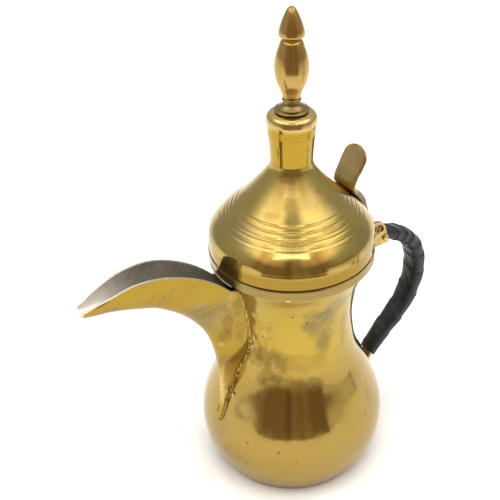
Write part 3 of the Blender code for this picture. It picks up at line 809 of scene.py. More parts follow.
def make_pot():
    """The pot's wall, its foot, base and mouth band, the solder that holds them, and a painted
    highlight on the band's edge over the spout.
    """
    outside = POT_CURVE + [Vector((POT_CURVE[-1].x, z)) for z in (144.5, 146.5, POT_TOP - 0.4)]
    lip = [Vector((POT_CURVE[-1].x - 0.3, POT_TOP)), Vector((POT_CURVE[-1].x - 0.9, POT_TOP))]
    inside = inset(outside, SHEET)[::-1]
    shell = turned(outside + lip + inside, POT_SIDES, pot_worked, len(outside) + 1)
    # The opening behind the spout, with a round lower end.
    half, above = MOUTH_HALF_WIDTH, POT_TOP + 5
    arch = [(half, above)]
    for step in range(MOUTH_STEPS):
        angle = pi * step / (MOUTH_STEPS - 1)
        arch.append((half * cos(angle), MOUTH_BOTTOM + half * (1 - sin(angle))))
    arch.append((-half, above))
    shell = carved(shell, lofted([[(x, y, z) for y, z in arch] for x in (-60, -20)]))
    piece("pot_wall", shell, "pot", "raised tin", "body_shell")

    low, high = FOOT_RADIUS
    thick = FOOT_THICKNESS
    hoop = [(low - 0.25, 0), (low, 0.25), (low + 0.6, 1.4), (high - 0.5, FOOT_HEIGHT - 0.9),
            (high, FOOT_HEIGHT - 0.25), (high - 0.25, FOOT_HEIGHT), (high - thick, FOOT_HEIGHT),
            (low - thick, 0.3), (low - thick + 0.3, 0)]
    data = turned(hoop, POT_SIDES, wavy(0.08, 9))
    piece("foot_hoop", data, "pot", "hoop", "foot_ring")
    ring = wire(Vector((high - 0.15, FOOT_HEIGHT + 0.1)), Vector((0.42, 0)), Vector((0, 0.3)), 1)
    data = turned(ring, POT_SIDES, wavy(0.16, 4))
    piece("foot_solder", data, "pot", "dark_solder_and_shadow")

    rim = low - thick - GAP
    base = [(0, 0.5), (10, 0.5), (11, 0.38), (12, 0.5), (30, 0.42), (40, 0.3), (42, 0.12),
            (45, 0.05), (rim - 0.3, 0), (rim, 0.3), (rim, BASE_THICKNESS),
            (0, BASE_THICKNESS + 0.3)]
    piece("base_disc", solid(base, BASE_SIDES), "pot", "base", "base_plate")
    data = turned([(rim - 1.5, BASE_THICKNESS + 0.05), (rim - 0.5, BASE_THICKNESS + 0.4),
                   (rim + 0.1, BASE_THICKNESS + 1.2), (rim + 0.25, BASE_THICKNESS + 0.2)],
                  COLLAR_SIDES, wavy(0.2, 4))
    piece("base_solder", data, "pot", "solder")

    inner = POT_CURVE[-1].x + GAP
    face = [(-0.45, 0), (-0.12, 0.14), (0, 0.5), (0.02, 2), (-0.06, 4.3), (0, 5.4),
            (-0.15, 5.78), (-0.5, 5.9)]
    band = [(inner, BAND_BOTTOM + 0.2), (inner + 0.3, BAND_BOTTOM)]
    band += [(BAND_RADIUS + out, BAND_BOTTOM + up) for out, up in face] + [(inner, BAND_TOP)]
    data = turned(band, POT_SIDES, wavy(0.09, 10, 3))
    for vert in data.verts:
        if vert.co.z < BAND_BOTTOM + 3:
            vert.co.z += 0.16 * uneven((vert.co.x, vert.co.y, 0), 14)
    piece("mouth_band", data, "pot", "band", "rim_band")

    # Painted highlight: a thin near-white bead along the band's lower edge over the spout's mouth.
    rings = []
    for step in range(41):
        angle = radians(160 + 31 * step / 40)
        out = Vector((cos(angle), sin(angle), 0))
        size = 0.34 * sin(pi * (step + 0.5) / 41) ** 0.3
        centre = out * (BAND_RADIUS + 0.05) + UP * (BAND_BOTTOM + 0.1 + 0.05 * sin(step))
        rings.append(wire(centre, out, UP, size))
    piece("band_edge_highlight", lofted(rings), "pot", "bright_solder_and_highlight")
    lumps = []
    for degrees, size in ((-2, 1.0), (8, 0.8), (11, 0.5), (62, 0.9), (118, 0.7), (171, 1.1),
                          (-74, 0.8), (-131, 0.7), (-160, 0.9)):
        x, y, z = around(degrees, inner + 0.2, BAND_BOTTOM - 0.55 * size)
        lumps.append(((x, y, z), (x, y, -20), (-y, x, 0), (1.5 * size, 0.7 * size, 0.6 * size)))
    piece("band_solder", blobs(lumps), "pot", "bright_solder_and_highlight")


def make_spout():
    """The trough, with its tinned inside and rounded rim."""
    rings = []
    for keel_x, keel_z, edge_x, edge_z, width in spout_keys(SPOUT_ROWS):
        free = ease(edge_z, 139, 143) if edge_x > -70 else 1
        rows = []
        for wall in (0, SPOUT_SHEET):
            start_x = edge_x
            if edge_z < SPOUT_FREE[0][3] and edge_x > -60:
                start_x = -pot_surface(edge_z, width - wall)
            depth = hypot(keel_x - start_x, keel_z - edge_z)
            fullness = (depth - wall) / depth
            row = []
            for column in range(SPOUT_COLUMNS + 1):
                angle = pi * (column / SPOUT_COLUMNS - 0.5)
                across = copysign(abs(sin(angle)) ** TROUGH_SIDE, angle)
                down = fullness * max(0, cos(angle)) ** TROUGH_FLOOR
                place = Vector((start_x + (keel_x - start_x) * down,
                                max(0.3, width - wall) * across,
                                edge_z + (keel_z - edge_z) * down))
                row.append(place + Vector((0, 0.1 * uneven(place, 12), 0.1 * uneven(place, 11, 1))))
            rows.append(row)
        outer, inner = rows
        lift = Vector((edge_x - keel_x, 0, edge_z - keel_z)).normalized() * 0.45 * free
        near = (outer[0] + inner[0]) / 2 + lift
        far = (outer[-1] + inner[-1]) / 2 + lift
        rings.append(outer + [far] + inner[::-1] + [near])
    data = lofted(rings, inside_from=SPOUT_COLUMNS)
    data.faces.ensure_lookup_table()
    data.faces[-1].material_index = 1
    piece("spout_trough", data, "pot", "spout tin", "spout", sharp=50)


def seam_row(station, side):
    """Points across the fillet: on the pot beside the trough, then up its wall."""
    keel_x, keel_z, edge_x, edge_z, width = station
    depth = hypot(keel_x - edge_x, keel_z - edge_z)
    size = min(SEAM_SIZE, 0.6 * depth) * (1 + 0.25 * uneven((0, side * 9, edge_z), 8))
    far = Vector((-pot_surface(edge_z, width + size, 0.12), side * (width + size), edge_z))
    corner = Vector((-pot_surface(edge_z, width, 0.1), side * width, edge_z))
    angle = acos(min(1, (size / depth)) ** (1 / TROUGH_FLOOR))
    top = Vector((edge_x + (keel_x - edge_x) * size / depth,
                  side * (width * sin(angle) ** TROUGH_SIDE + 0.12),
                  edge_z + (keel_z - edge_z) * size / depth))
    row = []
    outward = Vector((-0.7, side * 0.7, 0))
    for step in range(SEAM_STEPS + 1):
        t = step / SEAM_STEPS
        bend = corner * 0.75 + (far + top) * 0.125
        place = far * (1 - t) ** 2 + bend * 2 * t * (1 - t) + top * t * t
        bump = sin(pi * t) * (0.1 * uneven(place, 4, 5) + 0.04 * uneven(place, 1.5, 6))
        row.append(place + outward * bump)
    return row, corner


def make_seams():
    """The brazed fillets where the spout joins the neck, and the slots in the toothed seam."""
    stations = [s for s in spout_keys(SPOUT_ROWS * 2)
                if s[3] < SPOUT_FREE[0][3] - 1 and s[2] > -60]
    pick = Random(4)
    slots = []
    for name, side in (("seam_left", 1), ("seam_right", -1)):
        rings, line = [], []
        for station in stations:
            row, corner = seam_row(station, side)
            inward = (Vector((0, 0, corner.z)) - corner).normalized() * 0.25
            rings.append(row + [corner + inward])
            line.append(row[4])
        piece(name, lofted(rings), "pot", "seam", "spout_" + name)
        travelled, following = 0, 1.5
        for low, high in zip(line, line[1:]):
            along = high - low
            travelled += along.length
            if travelled < following:
                continue
            outward = Vector((high.x * 0.8, high.y * 0.8 + side * 14, 0)).normalized()
            across = outward.cross(along).normalized()
            following = travelled + pick.uniform(2.8, 4.8)
            dense = 56 < high.z < 106
            if not dense and pick.random() < 0.5:
                continue
            lean = pick.uniform(-0.4, 0.4)
            size = pick.uniform(0.8, 1.4) if dense else pick.uniform(0.35, 0.6)
            slots.append((high + across * lean + outward * 0.12, outward,
                          along.normalized() + across * lean,
                          (size, 0.32 + 0.08 * pick.random(), 0.26)))
    piece("seam_slots", blobs(slots), "pot", "scorched")

    # A dark line round the spout's foot, a painted shadow of the gap under its edge, and the pale
    # solder that ran out by it.
    half = [(-3.6, 66), (-3.3, 58), (-3.6, 52), (-3.5, 47.5), (-2.2, 44.4)]
    line = smooth(half + [(0, 43.2)] + [(-y, z) for y, z in half[::-1]], 8)
    rings = []
    for index, ((y, z), along, _) in enumerate(strap_frame(line)):
        size = 0.32 * (1 + 0.5 * uneven((0, y, z), 2.5))
        size *= sin(pi * (index + 0.5) / len(line)) ** 0.3
        centre = Vector((-pot_surface(z, y, 0.08), y, z))
        beside = Vector((0, along.y, -along.x)) * 1.2
        rings.append(wire(centre, beside, Vector((-1, 0, 0)), size, 8))
    piece("foot_shadow_line", lofted(rings), "pot", "dark_solder_and_shadow")
    drops = []
    for y, z, lean, sizes in ((-4.4, 62, -0.3, (2.4, 1.3, 0.6)), (4.4, 60, 0.3, (2.6, 1.1, 0.6)),
                              (-10, 98, -0.3, (3, 1.1, 0.5)), (-11.4, 106, 0.1, (2.6, 0.9, 0.5))):
        x = -pot_surface(z, y, 0.3)
        drops.append(((x, y, z), (x, y, 8), (0, lean, 1), sizes))
    piece("solder_run", blobs(drops), "pot", "pale_solder")


# ---------------------------------------------------------------- handle

def make_bracket():
    """The folded channel that carries the hinge pin, with its edges filed round."""
    outline = [(radius_at(POT_CURVE, BRACKET_BOTTOM) + GAP, BRACKET_BOTTOM)] + BRACKET_END
    for step in range(13):
        angle = radians(45 + 75 * step / 12)
        outline.append((HINGE_X + EAR_RADIUS * cos(angle), HINGE_Z + EAR_RADIUS * sin(angle)))
    outline.append((BAND_RADIUS + 2, BRACKET_TOP))
    for step in range(9):
        height = BRACKET_TOP + (BRACKET_BOTTOM - BRACKET_TOP) * step / 9
        outline.append((radius_at(POT_CURVE, height) + GAP, height))
    data = lofted([[(x, y, z) for x, z in outline] for y in (-CHEEK_OUTSIDE, CHEEK_OUTSIDE)])
    floor, above = BRACKET_BOTTOM + WEB, HINGE_Z + 20
    channel = lofted([[(x, y, z) for x, z in ((30, floor), (80, floor), (80, above), (30, above))]
                      for y in (-CHEEK_INSIDE, CHEEK_INSIDE)])
    data = carved(data, channel, drill(HINGE_X, HINGE_Z, PIN_RADIUS),
                  drill(*RIVET_PLACE, RIVET_RADIUS), voxel=0.24, passes=4)
    for vert in data.verts:
        vert.co.y += 0.1 * uneven(vert.co, 6)
        vert.co.x += 0.08 * uneven(vert.co, 5, 1)
    piece("bracket_channel", data, "pot", "bracket", "handle_bracket")
    for name, node, (x, z), radius, head, slot, look in (
            ("pin_peened", "hinge_pin", (HINGE_X, HINGE_Z), PIN_RADIUS, PIN_HEAD_RADIUS,
             "steel", "pin"),
            ("rivet_peened", "bracket_rivet", RIVET_PLACE, RIVET_RADIUS, RIVET_HEAD_RADIUS,
             "polished_brass", "bracket")):
        reach = CHEEK_OUTSIDE + GAP
        half = [(reach, radius)] + [(reach + rise * HEAD_HEIGHT, head * share) for rise, share in
                                    ((0, 0.94), (0.2, 1), (0.5, 0.93), (0.8, 0.72), (0.96, 0.42),
                                     (1, 0.12))]
        sections = [(-y, r) for y, r in half[::-1]] + half
        data = cross_bar(x, z, sections)
        for vert in data.verts:
            if abs(vert.co.y) > reach + 0.05:
                vert.co.x += 0.14 * uneven(vert.co, 2)
                vert.co.z += 0.14 * uneven(vert.co, 2, 1)
        piece(name, data, "pot", look, node)
    bend = [(-0.6, -0.8), (0.9, 1.5), (3.1, 2.2), (4.6, 0.6), (3.9, -1.4), (2.6, -1.2)]
    line = smooth([(HINGE_X + x, HINGE_Z + z) for x, z in bend], 8)
    data = bmesh.new()
    for side in (-1, 1):
        rings = []
        for index, (point, along, _) in enumerate(strap_frame(line)):
            size = 0.5 * sin(pi * (index + 0.5) / len(line)) ** 0.25
            lift = CHEEK_OUTSIDE + 0.45 + 1.2 * (1 - ease(index, 0, 16))
            rings.append(wire(Vector((point.x, side * lift, point.y)),
                              Vector((-along.y, 0, along.x)), Vector((0, side, 0)), size))
        lofted(rings, data)
    piece("pin_ends", data, "pot", "dark_solder_and_shadow")


def make_strap():
    """The bent brass strip, and the braze round its foot on the belly."""
    stations = strap_frame(smooth(HANDLE + HANDLE_FOOT, 10))
    length = stations[-1][2]
    rings = []
    for point, along, travelled in stations:
        share = min(1, (length - travelled) / FOOT_TAPER)
        thickness = FOOT_HALF_THICKNESS + (STRAP_HALF_THICKNESS - FOOT_HALF_THICKNESS) * share
        width = STRAP_HALF_WIDTH * (1 - 0.25 * ease(travelled, length - 3, length) ** 2)

        def hammered(y, rise, angle):
            place = (point.x, y, point.y)
            return y * (1 + 0.02 * uneven(place, 5)), rise + 0.06 * uneven(place, 4, 1)
        rings.append(oval(point, along, width, thickness, 0.4, 36, hammered))
    data = carved(lofted(rings), drill(*RIVET_PLACE, RIVET_RADIUS))
    piece("strap_bar", data, "pot", "coppery", "handle_strap")
    data = bmesh.new()
    for side in (-1, 1):
        rings = []
        for step in range(26):
            z = 17.6 + 17 * step / 25
            fade = 1
            for left in (step + 1, 26 - step):
                fade *= sin(pi * min(1, left / 8) / 2)
            y = side * (STRAP_HALF_WIDTH + 0.05)
            size = 1.5 * fade * (1 + 0.3 * uneven((0, side * 4, z), 3)) + 0.1
            outer = side * (STRAP_HALF_WIDTH + size * 1.2)
            rings.append([(pot_surface(z, y, -0.1), y * 0.96, z),
                          (pot_surface(z, outer, -0.05), outer, z),
                          (pot_surface(z, outer, 0.2), outer - side * 0.35 * size, z),
                          (pot_surface(z, y, 0.1) + 0.55 * size, y + side * 0.3 * size, z),
                          (pot_surface(z, y, 0.1) + 1.25 * size, y * 0.99, z)])
        lofted(rings, data)
    piece("strap_braze", data, "pot", "solder")


def make_wrap():
    """The strip wound round the strap: overlapping turns with raised edges and creases."""
    stations = strap_frame(smooth(HANDLE, 46))
    length = stations[-1][2]
    turns = [s for s in stations if WRAP_START < s[2] < length - WRAP_END]
    start, end = turns[0][2], turns[-1][2]
    count = 64

    def phase(distance):
        for index, pitch in enumerate(WRAP_PITCHES):
            if distance < pitch:
                return index + distance / pitch
            distance -= pitch
        return len(WRAP_PITCHES) + distance / WRAP_LAST_PITCH

    outer, inner = [], []
    for point, along, travelled in turns:
        tilt = WRAP_TILT * max(0, 1 - (travelled - start) / WRAP_TILT_FADE)
        tilt -= radians(14) * max(0, 1 - (end - travelled) / 16)
        across = along.copy()
        across.rotate(Matrix.Rotation(tilt, 2))
        stretch = 1 / cos(tilt)
        swell = 1 + WRAP_SWELL * sin(pi * travelled / length) - 0.07
        taper = 1 - 0.16 * (1 - ease(travelled, start, start + 9))

        def wound(y, rise, angle):
            turn = phase(travelled - start + 0.8 * uneven((travelled, y, rise), 9))
            turn += 0.82 * (0.5 + 0.5 * cos(angle)) * (1 if rise > 0 else 0.6)
            share = turn % 1.0
            edge = 0.55 * (1 - ease(share, 0.0, 0.9)) * ease(share, 0.0, 0.03)
            edge += 0.12 * ease(share, 0.93, 0.99)
            crease = abs(uneven((travelled * 0.5 + y * 0.9, rise * 1.4, turn * 3), 4.2, 7))
            bump = edge + 0.3 * (0.25 - crease) + 0.09 * uneven((travelled, y, rise), 2.1, 8)
            out = Vector((y, rise)).normalized() * bump
            return y + out.x, rise + out.y
        outer.append(oval(point, across, WRAP_HALF_WIDTH * swell * taper,
                          WRAP_HALF_THICKNESS * swell * stretch * taper, 0.66, count, wound))
        inner.append(oval(point, across, STRAP_HALF_WIDTH + 0.25,
                          (STRAP_HALF_THICKNESS + 0.25) * stretch, 0.4, count))
    data = lofted([inner[1]] + outer + inner[::-1][1:-1][::8], closed=True)
    piece("wound_strip", data, "pot", "tape", "handle_wrap", sharp=34)


# ---------------------------------------------------------------- lid

def make_lid():
    """The spun dome with its turned grooves, and the collar inside it."""
    rim = [Vector((LID_RADIUS + out, LID_BOTTOM + up)) for out, up in
           ((-0.5, 0), (-0.12, 0.1), (0.05, 0.45), (0, 1), (0, 3.6))]
    dome = relaxed(smooth([(LID_RADIUS, LID_SHOULDER)] + LID_DOME, 34), 90)
    cut = []
    # Each line is a groove with a low ridge beside it.
    for point, along, _ in strap_frame(dome):
        groove = sum(-depth * exp(-((point.x - place) / 0.34) ** 2)
                     + 0.4 * depth * exp(-((point.x - place - 0.8) / 0.5) ** 2)
                     for place, depth in LID_GROOVES)
        cut.append(point + Vector((along.y, -along.x)) * groove)
    outside = rim + cut
    inside = inset(rim[2:] + dome[::4], SHEET)[::-1]
    data = turned(outside + inside, LID_SIDES, wavy(0.06, 22), len(outside))
    piece("lid_shell", data, "lid", "lid tin", "lid_dome")
    flange = LID_RADIUS - SHEET - GAP
    wall = COLLAR_RADIUS - SHEET
    collar = [(COLLAR_RADIUS - 0.3, COLLAR_BOTTOM), (COLLAR_RADIUS, COLLAR_BOTTOM + 0.3),
              (COLLAR_RADIUS, LID_BOTTOM - 0.3), (COLLAR_RADIUS + 0.3, LID_BOTTOM),
              (flange - 0.2, LID_BOTTOM), (flange, LID_BOTTOM + 0.2), (flange, LID_BOTTOM + SHEET),
              (wall + 0.3, LID_BOTTOM + SHEET), (wall, LID_BOTTOM + SHEET - 0.3),
              (wall, COLLAR_BOTTOM + 0.3), (wall + 0.3, COLLAR_BOTTOM)]
    data = turned(collar, COLLAR_SIDES, wavy(0.07, 12))
    piece("collar_ring", data, "lid", "band", "lid_collar")
    lumps = []
    for step in range(16):
        angle = 2 * pi * (step + 0.3 * sin(step * 5)) / 16
        x, y = (flange - 0.1) * cos(angle), (flange - 0.1) * sin(angle)
        lumps.append(((x, y, LID_BOTTOM + SHEET - 0.1), (-x, -y, 30), (-y, x, 0), (3.6, 1.2, 0.8)))
    piece("collar_solder", blobs(lumps), "lid", "solder")


def make_finial():
    """Chimney, cap, washer, ring, bead and spear, all bored for the rod."""
    for name, node, keys, look in (("chimney_wall", "chimney_tube", CHIMNEY, "chimney"),
                                   ("cap_turned", "chimney_cap", CAP, "cap")):
        curve = smooth(keys, 10)
        inside = inset(curve, SHEET)[::-1]
        if name == "cap_turned":
            crown, under = Vector((BORE, CAP[-1][1])), Vector((BORE, CAP[-1][1] - SHEET))
            inside = [crown, under] + [point for point in inside if point.y < under.y]
        data = turned(curve + inside, CHIMNEY_SIDES, wavy(0.03, 6))
        piece(name, data, "lid", look, node)
    for name, node, keys, steps, look in (("washer_turned", "finial_washer", WASHER, 6, "washer"),
                                          ("ring_turned", "finial_ring", FINIAL_RING, 6, "washer"),
                                          ("bead_turned", "finial_bead", BEAD, 10, "finial")):
        bore = [(BORE, keys[-1][1]), (BORE, keys[0][1])]
        data = turned(smooth(keys, steps) + bore, FINIAL_SIDES, wavy(0.025, 4))
        piece(name, data, "lid", look, node)
    tip = [(0.5, SPEAR_TOP - 0.03), (0, SPEAR_TOP)]
    outline = [(0, SPEAR_BORE_TOP), (BORE, SPEAR_BORE_TOP), (BORE, SPEAR[0][1])]
    data = solid(outline + smooth(SPEAR, 9) + tip, SPEAR_SIDES)
    piece("spear_turned", data, "lid", "finial", "finial_spear")


def make_lever():
    """The cast thumb lever: a strap up from the knuckle, flaring to a dished round paddle."""
    stations = [Vector(station) for station in smooth(LEVER, 8)]
    last = stations[-1]
    for step in range(1, 13):
        turn = radians(90) * step / 12
        share = sin(turn)
        stations.append(Vector((last[0] + (PADDLE_TIP[0] - last[0]) * share,
                                last[1] + (PADDLE_TIP[1] - last[1]) * share,
                                last[2] - 0.8 * share, max(0.9, last[3] * cos(turn)))))
    line = [station.xy for station in stations]
    rings = []
    for (point, along, _), (_, _, thickness, width) in zip(strap_frame(line), stations):
        dish = ease(point.y, 172, 180) * 0.32

        def dished(y, rise, angle):
            if rise > 0:
                rise -= 2 * dish * max(0, 1 - (y / width) ** 2) ** 1.5
            return y, rise
        rings.append(oval(point, along, width, thickness / 2, 0.62, 40, dished))
    knuckle = cross_bar(HINGE_X, HINGE_Z, [(-KNUCKLE_HALF_LENGTH, KNUCKLE_RADIUS),
                                           (KNUCKLE_HALF_LENGTH, KNUCKLE_RADIUS)], 48)
    data = carved(lofted(rings), drill(HINGE_X, HINGE_Z, PIN_RADIUS, 40), joined=knuckle,
                  voxel=0.34, passes=5)
    for vert in data.verts:
        vert.co += Vector((0.1 * uneven(vert.co, 4), 0.08 * uneven(vert.co, 5, 1),
                           0.05 * uneven(vert.co, 3, 2)))
    nub = [((50.2, -1.5, 160.6), (0.9, 0, 0.42), (0, 1, 0), (1.5, 1.2, 0.8))]
    piece("thumb_piece", data, "lid", "cast", "thumb_lever")
    piece("lever_nub", blobs(nub), "lid", "cast")


# ---------------------------------------------------------------- studio

def toward(azimuth, elevation, distance=1):
    """A direction in degrees, or a point that way from the origin."""
    a, e = radians(azimuth), radians(elevation)
    return distance * Vector((cos(e) * cos(a), cos(e) * sin(a), sin(e)))


def area_light(name, azimuth, elevation, distance, size, brightness, mirrored=True):
    """A flat soft light aimed at the pot; brightness is what a mirror would show."""
    data = bpy.data.lights.new(name, "AREA")
    data.shape = "RECTANGLE"
    data.size, data.size_y = size
    data.energy = brightness * pi * size[0] * size[1]
    made = bpy.data.objects.new(name, data)
    way = toward(azimuth, elevation, distance)
    made.location = way + POT_MIDDLE
    made.rotation_euler = way.to_track_quat("Z", "Y").to_euler()
    made.visible_glossy = mirrored
    bpy.context.scene.collection.objects.link(made)


def make_table():
    """The pale table that the pot stands on."""
    data = bmesh.new()
    bmesh.ops.create_circle(data, cap_ends=True, segments=96, radius=TABLE_RADIUS)
    table = placed("table_top", data)
    finish = Finish("table_white", (0.93, 0.93, 0.925), 0.6, metallic=0.0)
    finish.clouds(90, 4, 0.4, 0.7, (0.915, 0.912, 0.905), 0.6)
    finish.shine("Specular IOR Level", 0.2)
    table.data.materials.append(finish.done())


def make_room():
    """What the brass mirrors: a soft bright room, two windows and a dark opening."""
    world = bpy.data.worlds.new("room")
    bpy.context.scene.world = world
    world.use_nodes = True
    room = Nodes(world.node_tree)
    direction = room.node("TexCoord", "Generated")
    height = room.xyz(direction)[2]
    grade = room.node("ValToRGB", i0=height).node
    grade.color_ramp.interpolation = "EASE"
    elements = grade.color_ramp.elements
    for where, level in ROOM_LEVELS:
        ends = {0: elements[0], 1: elements[-1]}
        element = ends[where] if where in ends else elements.new(where)
        element.position = where
        element.color = (*level, 1)

    def along(way):
        return room.vector("DOT_PRODUCT", direction, way, output="Value")

    level = 1.0
    for side, elevation, half_width, half_height, strength in WINDOWS:
        centre = toward(VIEW_DEGREES + side, elevation)
        across = centre.cross(UP).normalized()
        up = centre.cross(across).normalized()
        far = 0.0
        for way, half in ((across, half_width), (up, half_height)):
            share = room.math("ABSOLUTE", room.math("DIVIDE", along(way), sin(radians(half))))
            far = room.math("ADD", far, room.math("POWER", share, 2.6))
        glow = room.span(room.math("SQRT", far), 1.3, 0.35, 0.0, strength)
        front = room.math("GREATER_THAN", along(centre), 0.2)
        level = room.math("MULTIPLY_ADD", glow, front, level)

    # The dark opening beyond the camera, and the low, dimmer part to its right.
    view = toward(VIEW_DEGREES, 0)
    aside = room.math("ARCTAN2", along(UP.cross(view)), along(view))
    streaks = room.node("TexNoise", _noise_dimensions="1D", W=aside, Scale=STREAKS)
    middle = room.math("ABSOLUTE", room.math("ADD", aside, radians(-2)))
    middle = room.math("MULTIPLY", room.span(middle, radians(66), radians(43)),
                       room.math("MULTIPLY_ADD", streaks, -0.8, 1.0))
    tail = room.math("MULTIPLY", room.span(aside, radians(40), radians(46), 0.0, 0.4),
                     room.span(aside, radians(98), radians(80)))
    tail = room.math("MULTIPLY", tail, room.span(height, 0.3, 0.2))
    dark = room.math("MULTIPLY", room.math("MAXIMUM", middle, tail),
                     room.span(height, sin(radians(49)), sin(radians(46))))
    warm = room.node("Mix", 2, _data_type="RGBA", i0=dark, i6=grade.outputs[0],
                     i7=(1.15, 0.76, 0.5, 1))
    level = room.math("MULTIPLY", level, room.math("SUBTRACT", 1.0, dark))
    mirrored = room.node("Background", i0=warm, i1=level)
    plain = room.node("Background", i0=(0.97, 0.97, 0.965, 1))
    seen = room.node("LightPath", "Is Camera Ray")
    shown = room.node("MixShader", i0=seen, i1=mirrored, i2=plain)
    room.set(room.nodes["World Output"].inputs[0], shown)
    area_light("strip_light", VIEW_DEGREES, 50, 1.25, (0.9, 0.026), 7.5)
    area_light("ceiling_light", VIEW_DEGREES + 180, 86, 1.6, (1.6, 1.6), 2.6, mirrored=False)


def make_dark_floor():
    """The dark floor beyond the table on the camera's side. Only reflections show it."""
    data = bmesh.new()
    rows = []
    angles = [radians(-75 + 175 * step / 24) for step in range(25)]
    for distance in (0.25, 0.42, 0.7, 1.2, 2.2, TABLE_RADIUS):
        rows.append([data.verts.new((distance * sin(angle), -distance * cos(angle), FLOOR_LIFT))
                     for angle in angles])
    for near, far in zip(rows, rows[1:]):
        for corners in zip(near, near[1:], far[1:], far):
            data.faces.new(corners)
    card = placed("dark_opening", data)
    card.rotation_euler = (0, 0, VIEW_AZIMUTH + pi / 2)
    finish = Finish("dark_floor", (0.23, 0.155, 0.085), 1.0, metallic=0.0)
    finish.shine("Emission Strength", 1.0)
    aside = finish.math("ARCTAN2", finish.x, finish.math("MULTIPLY", finish.y, -1.0))

    def turn_span(low, high, *levels):
        return finish.span(aside, radians(low), radians(high), *levels)

    # On the right it is paler, outlined, and its near edge comes in toward the pot.
    edge = finish.math("SUBTRACT", turn_span(42, 50, 0.43, 0.52),
                       turn_span(66, 92, 0.0, 0.25, "LINEAR"))
    edge = finish.math("ADD", edge, turn_span(-36, -50, 0.0, 0.7))
    reach = finish.math("DIVIDE", finish.vector("LENGTH", finish.place, output=1), edge)
    middle = finish.math("ABSOLUTE", finish.math("ADD", aside, radians(2)))
    middle = finish.span(middle, radians(50), radians(44))
    outline = finish.math("MAXIMUM", finish.span(reach, 1.16, 1.08), turn_span(87, 90))
    outline = finish.math("MULTIPLY", outline, turn_span(42, 44, 0.0, 0.75))
    cover = finish.math("MAXIMUM", middle, turn_span(42, 44, 0.0, 0.32))
    cover = finish.math("MAXIMUM", cover, outline)
    cover = finish.math("MULTIPLY", cover, finish.span(reach, 1.0, 1.04))
    cover = finish.math("MULTIPLY", cover, turn_span(94, 92))
    streaks = finish.node("TexNoise", _noise_dimensions="1D", W=aside, Scale=STREAKS)
    finish.tint(finish.span(streaks, 0.4, 0.62), (0.46, 0.34, 0.2))
    finish.shine("Emission Color", finish.colour)
    finish.shine("Alpha", cover)
    finish.colour = (0, 0, 0, 1)
    card.data.materials.append(finish.done())
    card.visible_camera = card.visible_diffuse = card.visible_shadow = False


def make_camera():
    """The camera, as the photo was taken."""
    data = bpy.data.cameras.new("camera")
    data.sensor_width, data.lens, data.shift_x = CAMERA_SENSOR, CAMERA_LENS, CAMERA_SHIFT
    camera = bpy.data.objects.new("camera", data)
    camera.location = CAMERA_PLACE
    forward = Vector((0.588 * cos(CAMERA_DOWN), 0.809 * cos(CAMERA_DOWN), -sin(CAMERA_DOWN)))
    camera.rotation_euler = forward.to_track_quat("-Z", "Y").to_euler()
    bpy.context.scene.collection.objects.link(camera)
    bpy.context.scene.camera = camera


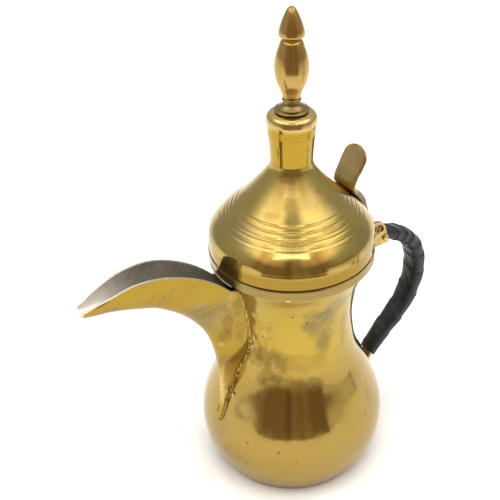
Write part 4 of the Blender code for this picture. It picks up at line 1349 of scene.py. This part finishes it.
def make_looks():
    """Every material by a short name. Marks are as in Finish.patches()."""
    chimney_marks = ((around(-36, 11.7, 209.5), (0.5, 0.5, 7.4), PIT, 0.8),
                     (around(48, 11.9, 208), (2.6, 2.6, 3), (0.36, 0.29, 0.14), 0.8))
    # Painted reflection: a thin dark brown band across the front of the cap's shoulder.
    cap_reflection_band = ((around(-10, 12, 226), (8, 8, 1.5), (0.3, 0.2, 0.06), 0.5),)
    lid_marks = ((around(-72, 44, 162), (14, 14, 10), (0.3, 0.225, 0.11), 0.7),
                 (around(-50, 36, 172), (16, 16, 9), (0.33, 0.25, 0.12), 0.5),
                 (around(64, 44, 164), (12, 12, 10), (0.3, 0.215, 0.09), 0.6),
                 # Painted shade: dark brown where the chimney meets the lid.
                 (around(-8, 14, 197), (9, 9, 3), (0.24, 0.13, 0.035), 0.6),
                 (around(24, 22, 187), (4, 4, 7), PALE, 0.3),
                 # Painted reflection: a dark streak down the middle of the lid's cone.
                 (around(-2, 22, 187), (4.5, 4.5, 8), (0.24, 0.165, 0.045), 0.4),
                 (around(-24, 25, 181), (6, 6, 3), BROWN, 0.3),
                 (around(36, 31, 175), (7, 7, 3), BROWN, 0.25),
                 (around(52, 26, 180), (6, 6, 5), PALE, 0.3),
                 (around(150, 38, 168), (16, 16, 12), TAN, 0.6))
    return {
        "raised": raised_brass(), "spout": spout_brass(), "tin": tin_lining(),
        "lid": turned_brass("lid_brass", (0.445, 0.326, 0.092), 0.1, 0.0007, lid_marks,
                            (0.1585, (0.32, 0.2, 0.034)), 0.181),
        "chimney": turned_brass("chimney_brass", (0.41, 0.262, 0.032), 0.08, 0.003, chimney_marks),
        "finial": turned_brass("finial_brass", (0.46, 0.305, 0.09), 0.19, 0.003),
        "washer": turned_brass("washer_brass", (0.3, 0.22, 0.08), 0.22, 0.004),
        "cap": turned_brass("cap_brass", (0.62, 0.46, 0.17), 0.16, 0.003, cap_reflection_band,
                            (0.2242, (0.41, 0.262, 0.032))),
        "hoop": turned_brass("hoop_brass", (0.38, 0.27, 0.1), 0.22, 0.02),
        "base": turned_brass("base_brass", (0.36, 0.26, 0.09), 0.3, 0.03),
        "band": band_brass(), "cast": cast_brass("cast_brass", (0.47, 0.345, 0.14), 0.92),
        "bracket": cast_brass("bracket_brass", (0.58, 0.43, 0.16)),
        "solder": solder_metal("solder_metal", 0.1), "seam": solder_metal("seam_solder", 0.015),
        "pale_solder": turned_brass("pale_solder", (0.5, 0.4, 0.18), 0.26, 0.006),
        "scorched": scorched(), "steel": worn_steel(), "tape": black_tape(),
        "pin": cast_brass("pin_metal", (0.34, 0.24, 0.1)),
        "coppery": turned_brass("strap_brass", (0.46, 0.33, 0.12), 0.26, 0.01),
        # Dark solder on the foot and pin, and the painted shadow line round the spout's foot.
        "dark_solder_and_shadow": turned_brass("solder_and_shadow_line", (0.16, 0.1, 0.035), 0.4, 0.01),
        # Solder lumps under the band, and the painted highlight bead on the band's edge.
        "bright_solder_and_highlight": turned_brass("solder_and_highlight_bead", (0.92, 0.84, 0.66), 0.3, 0.004),
    }


def main():
    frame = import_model()
    LOOKS.update(make_looks())
    make_pot()
    make_spout()
    make_seams()
    make_bracket()
    make_strap()
    make_wrap()
    make_lid()
    make_finial()
    make_lever()
    for node in ("finial_rod", "finial_nut"):
        for slot in frame["nodes"][node].material_slots:
            slot.material = LOOKS["steel"]
    make_table()
    make_room()
    make_dark_floor()
    make_camera()
    bpy.context.scene.view_settings.view_transform = "Standard"


SEAM_LINE = [(s[3], s[4] + 1) for s in spout_keys(3) if s[2] > -60]
main()
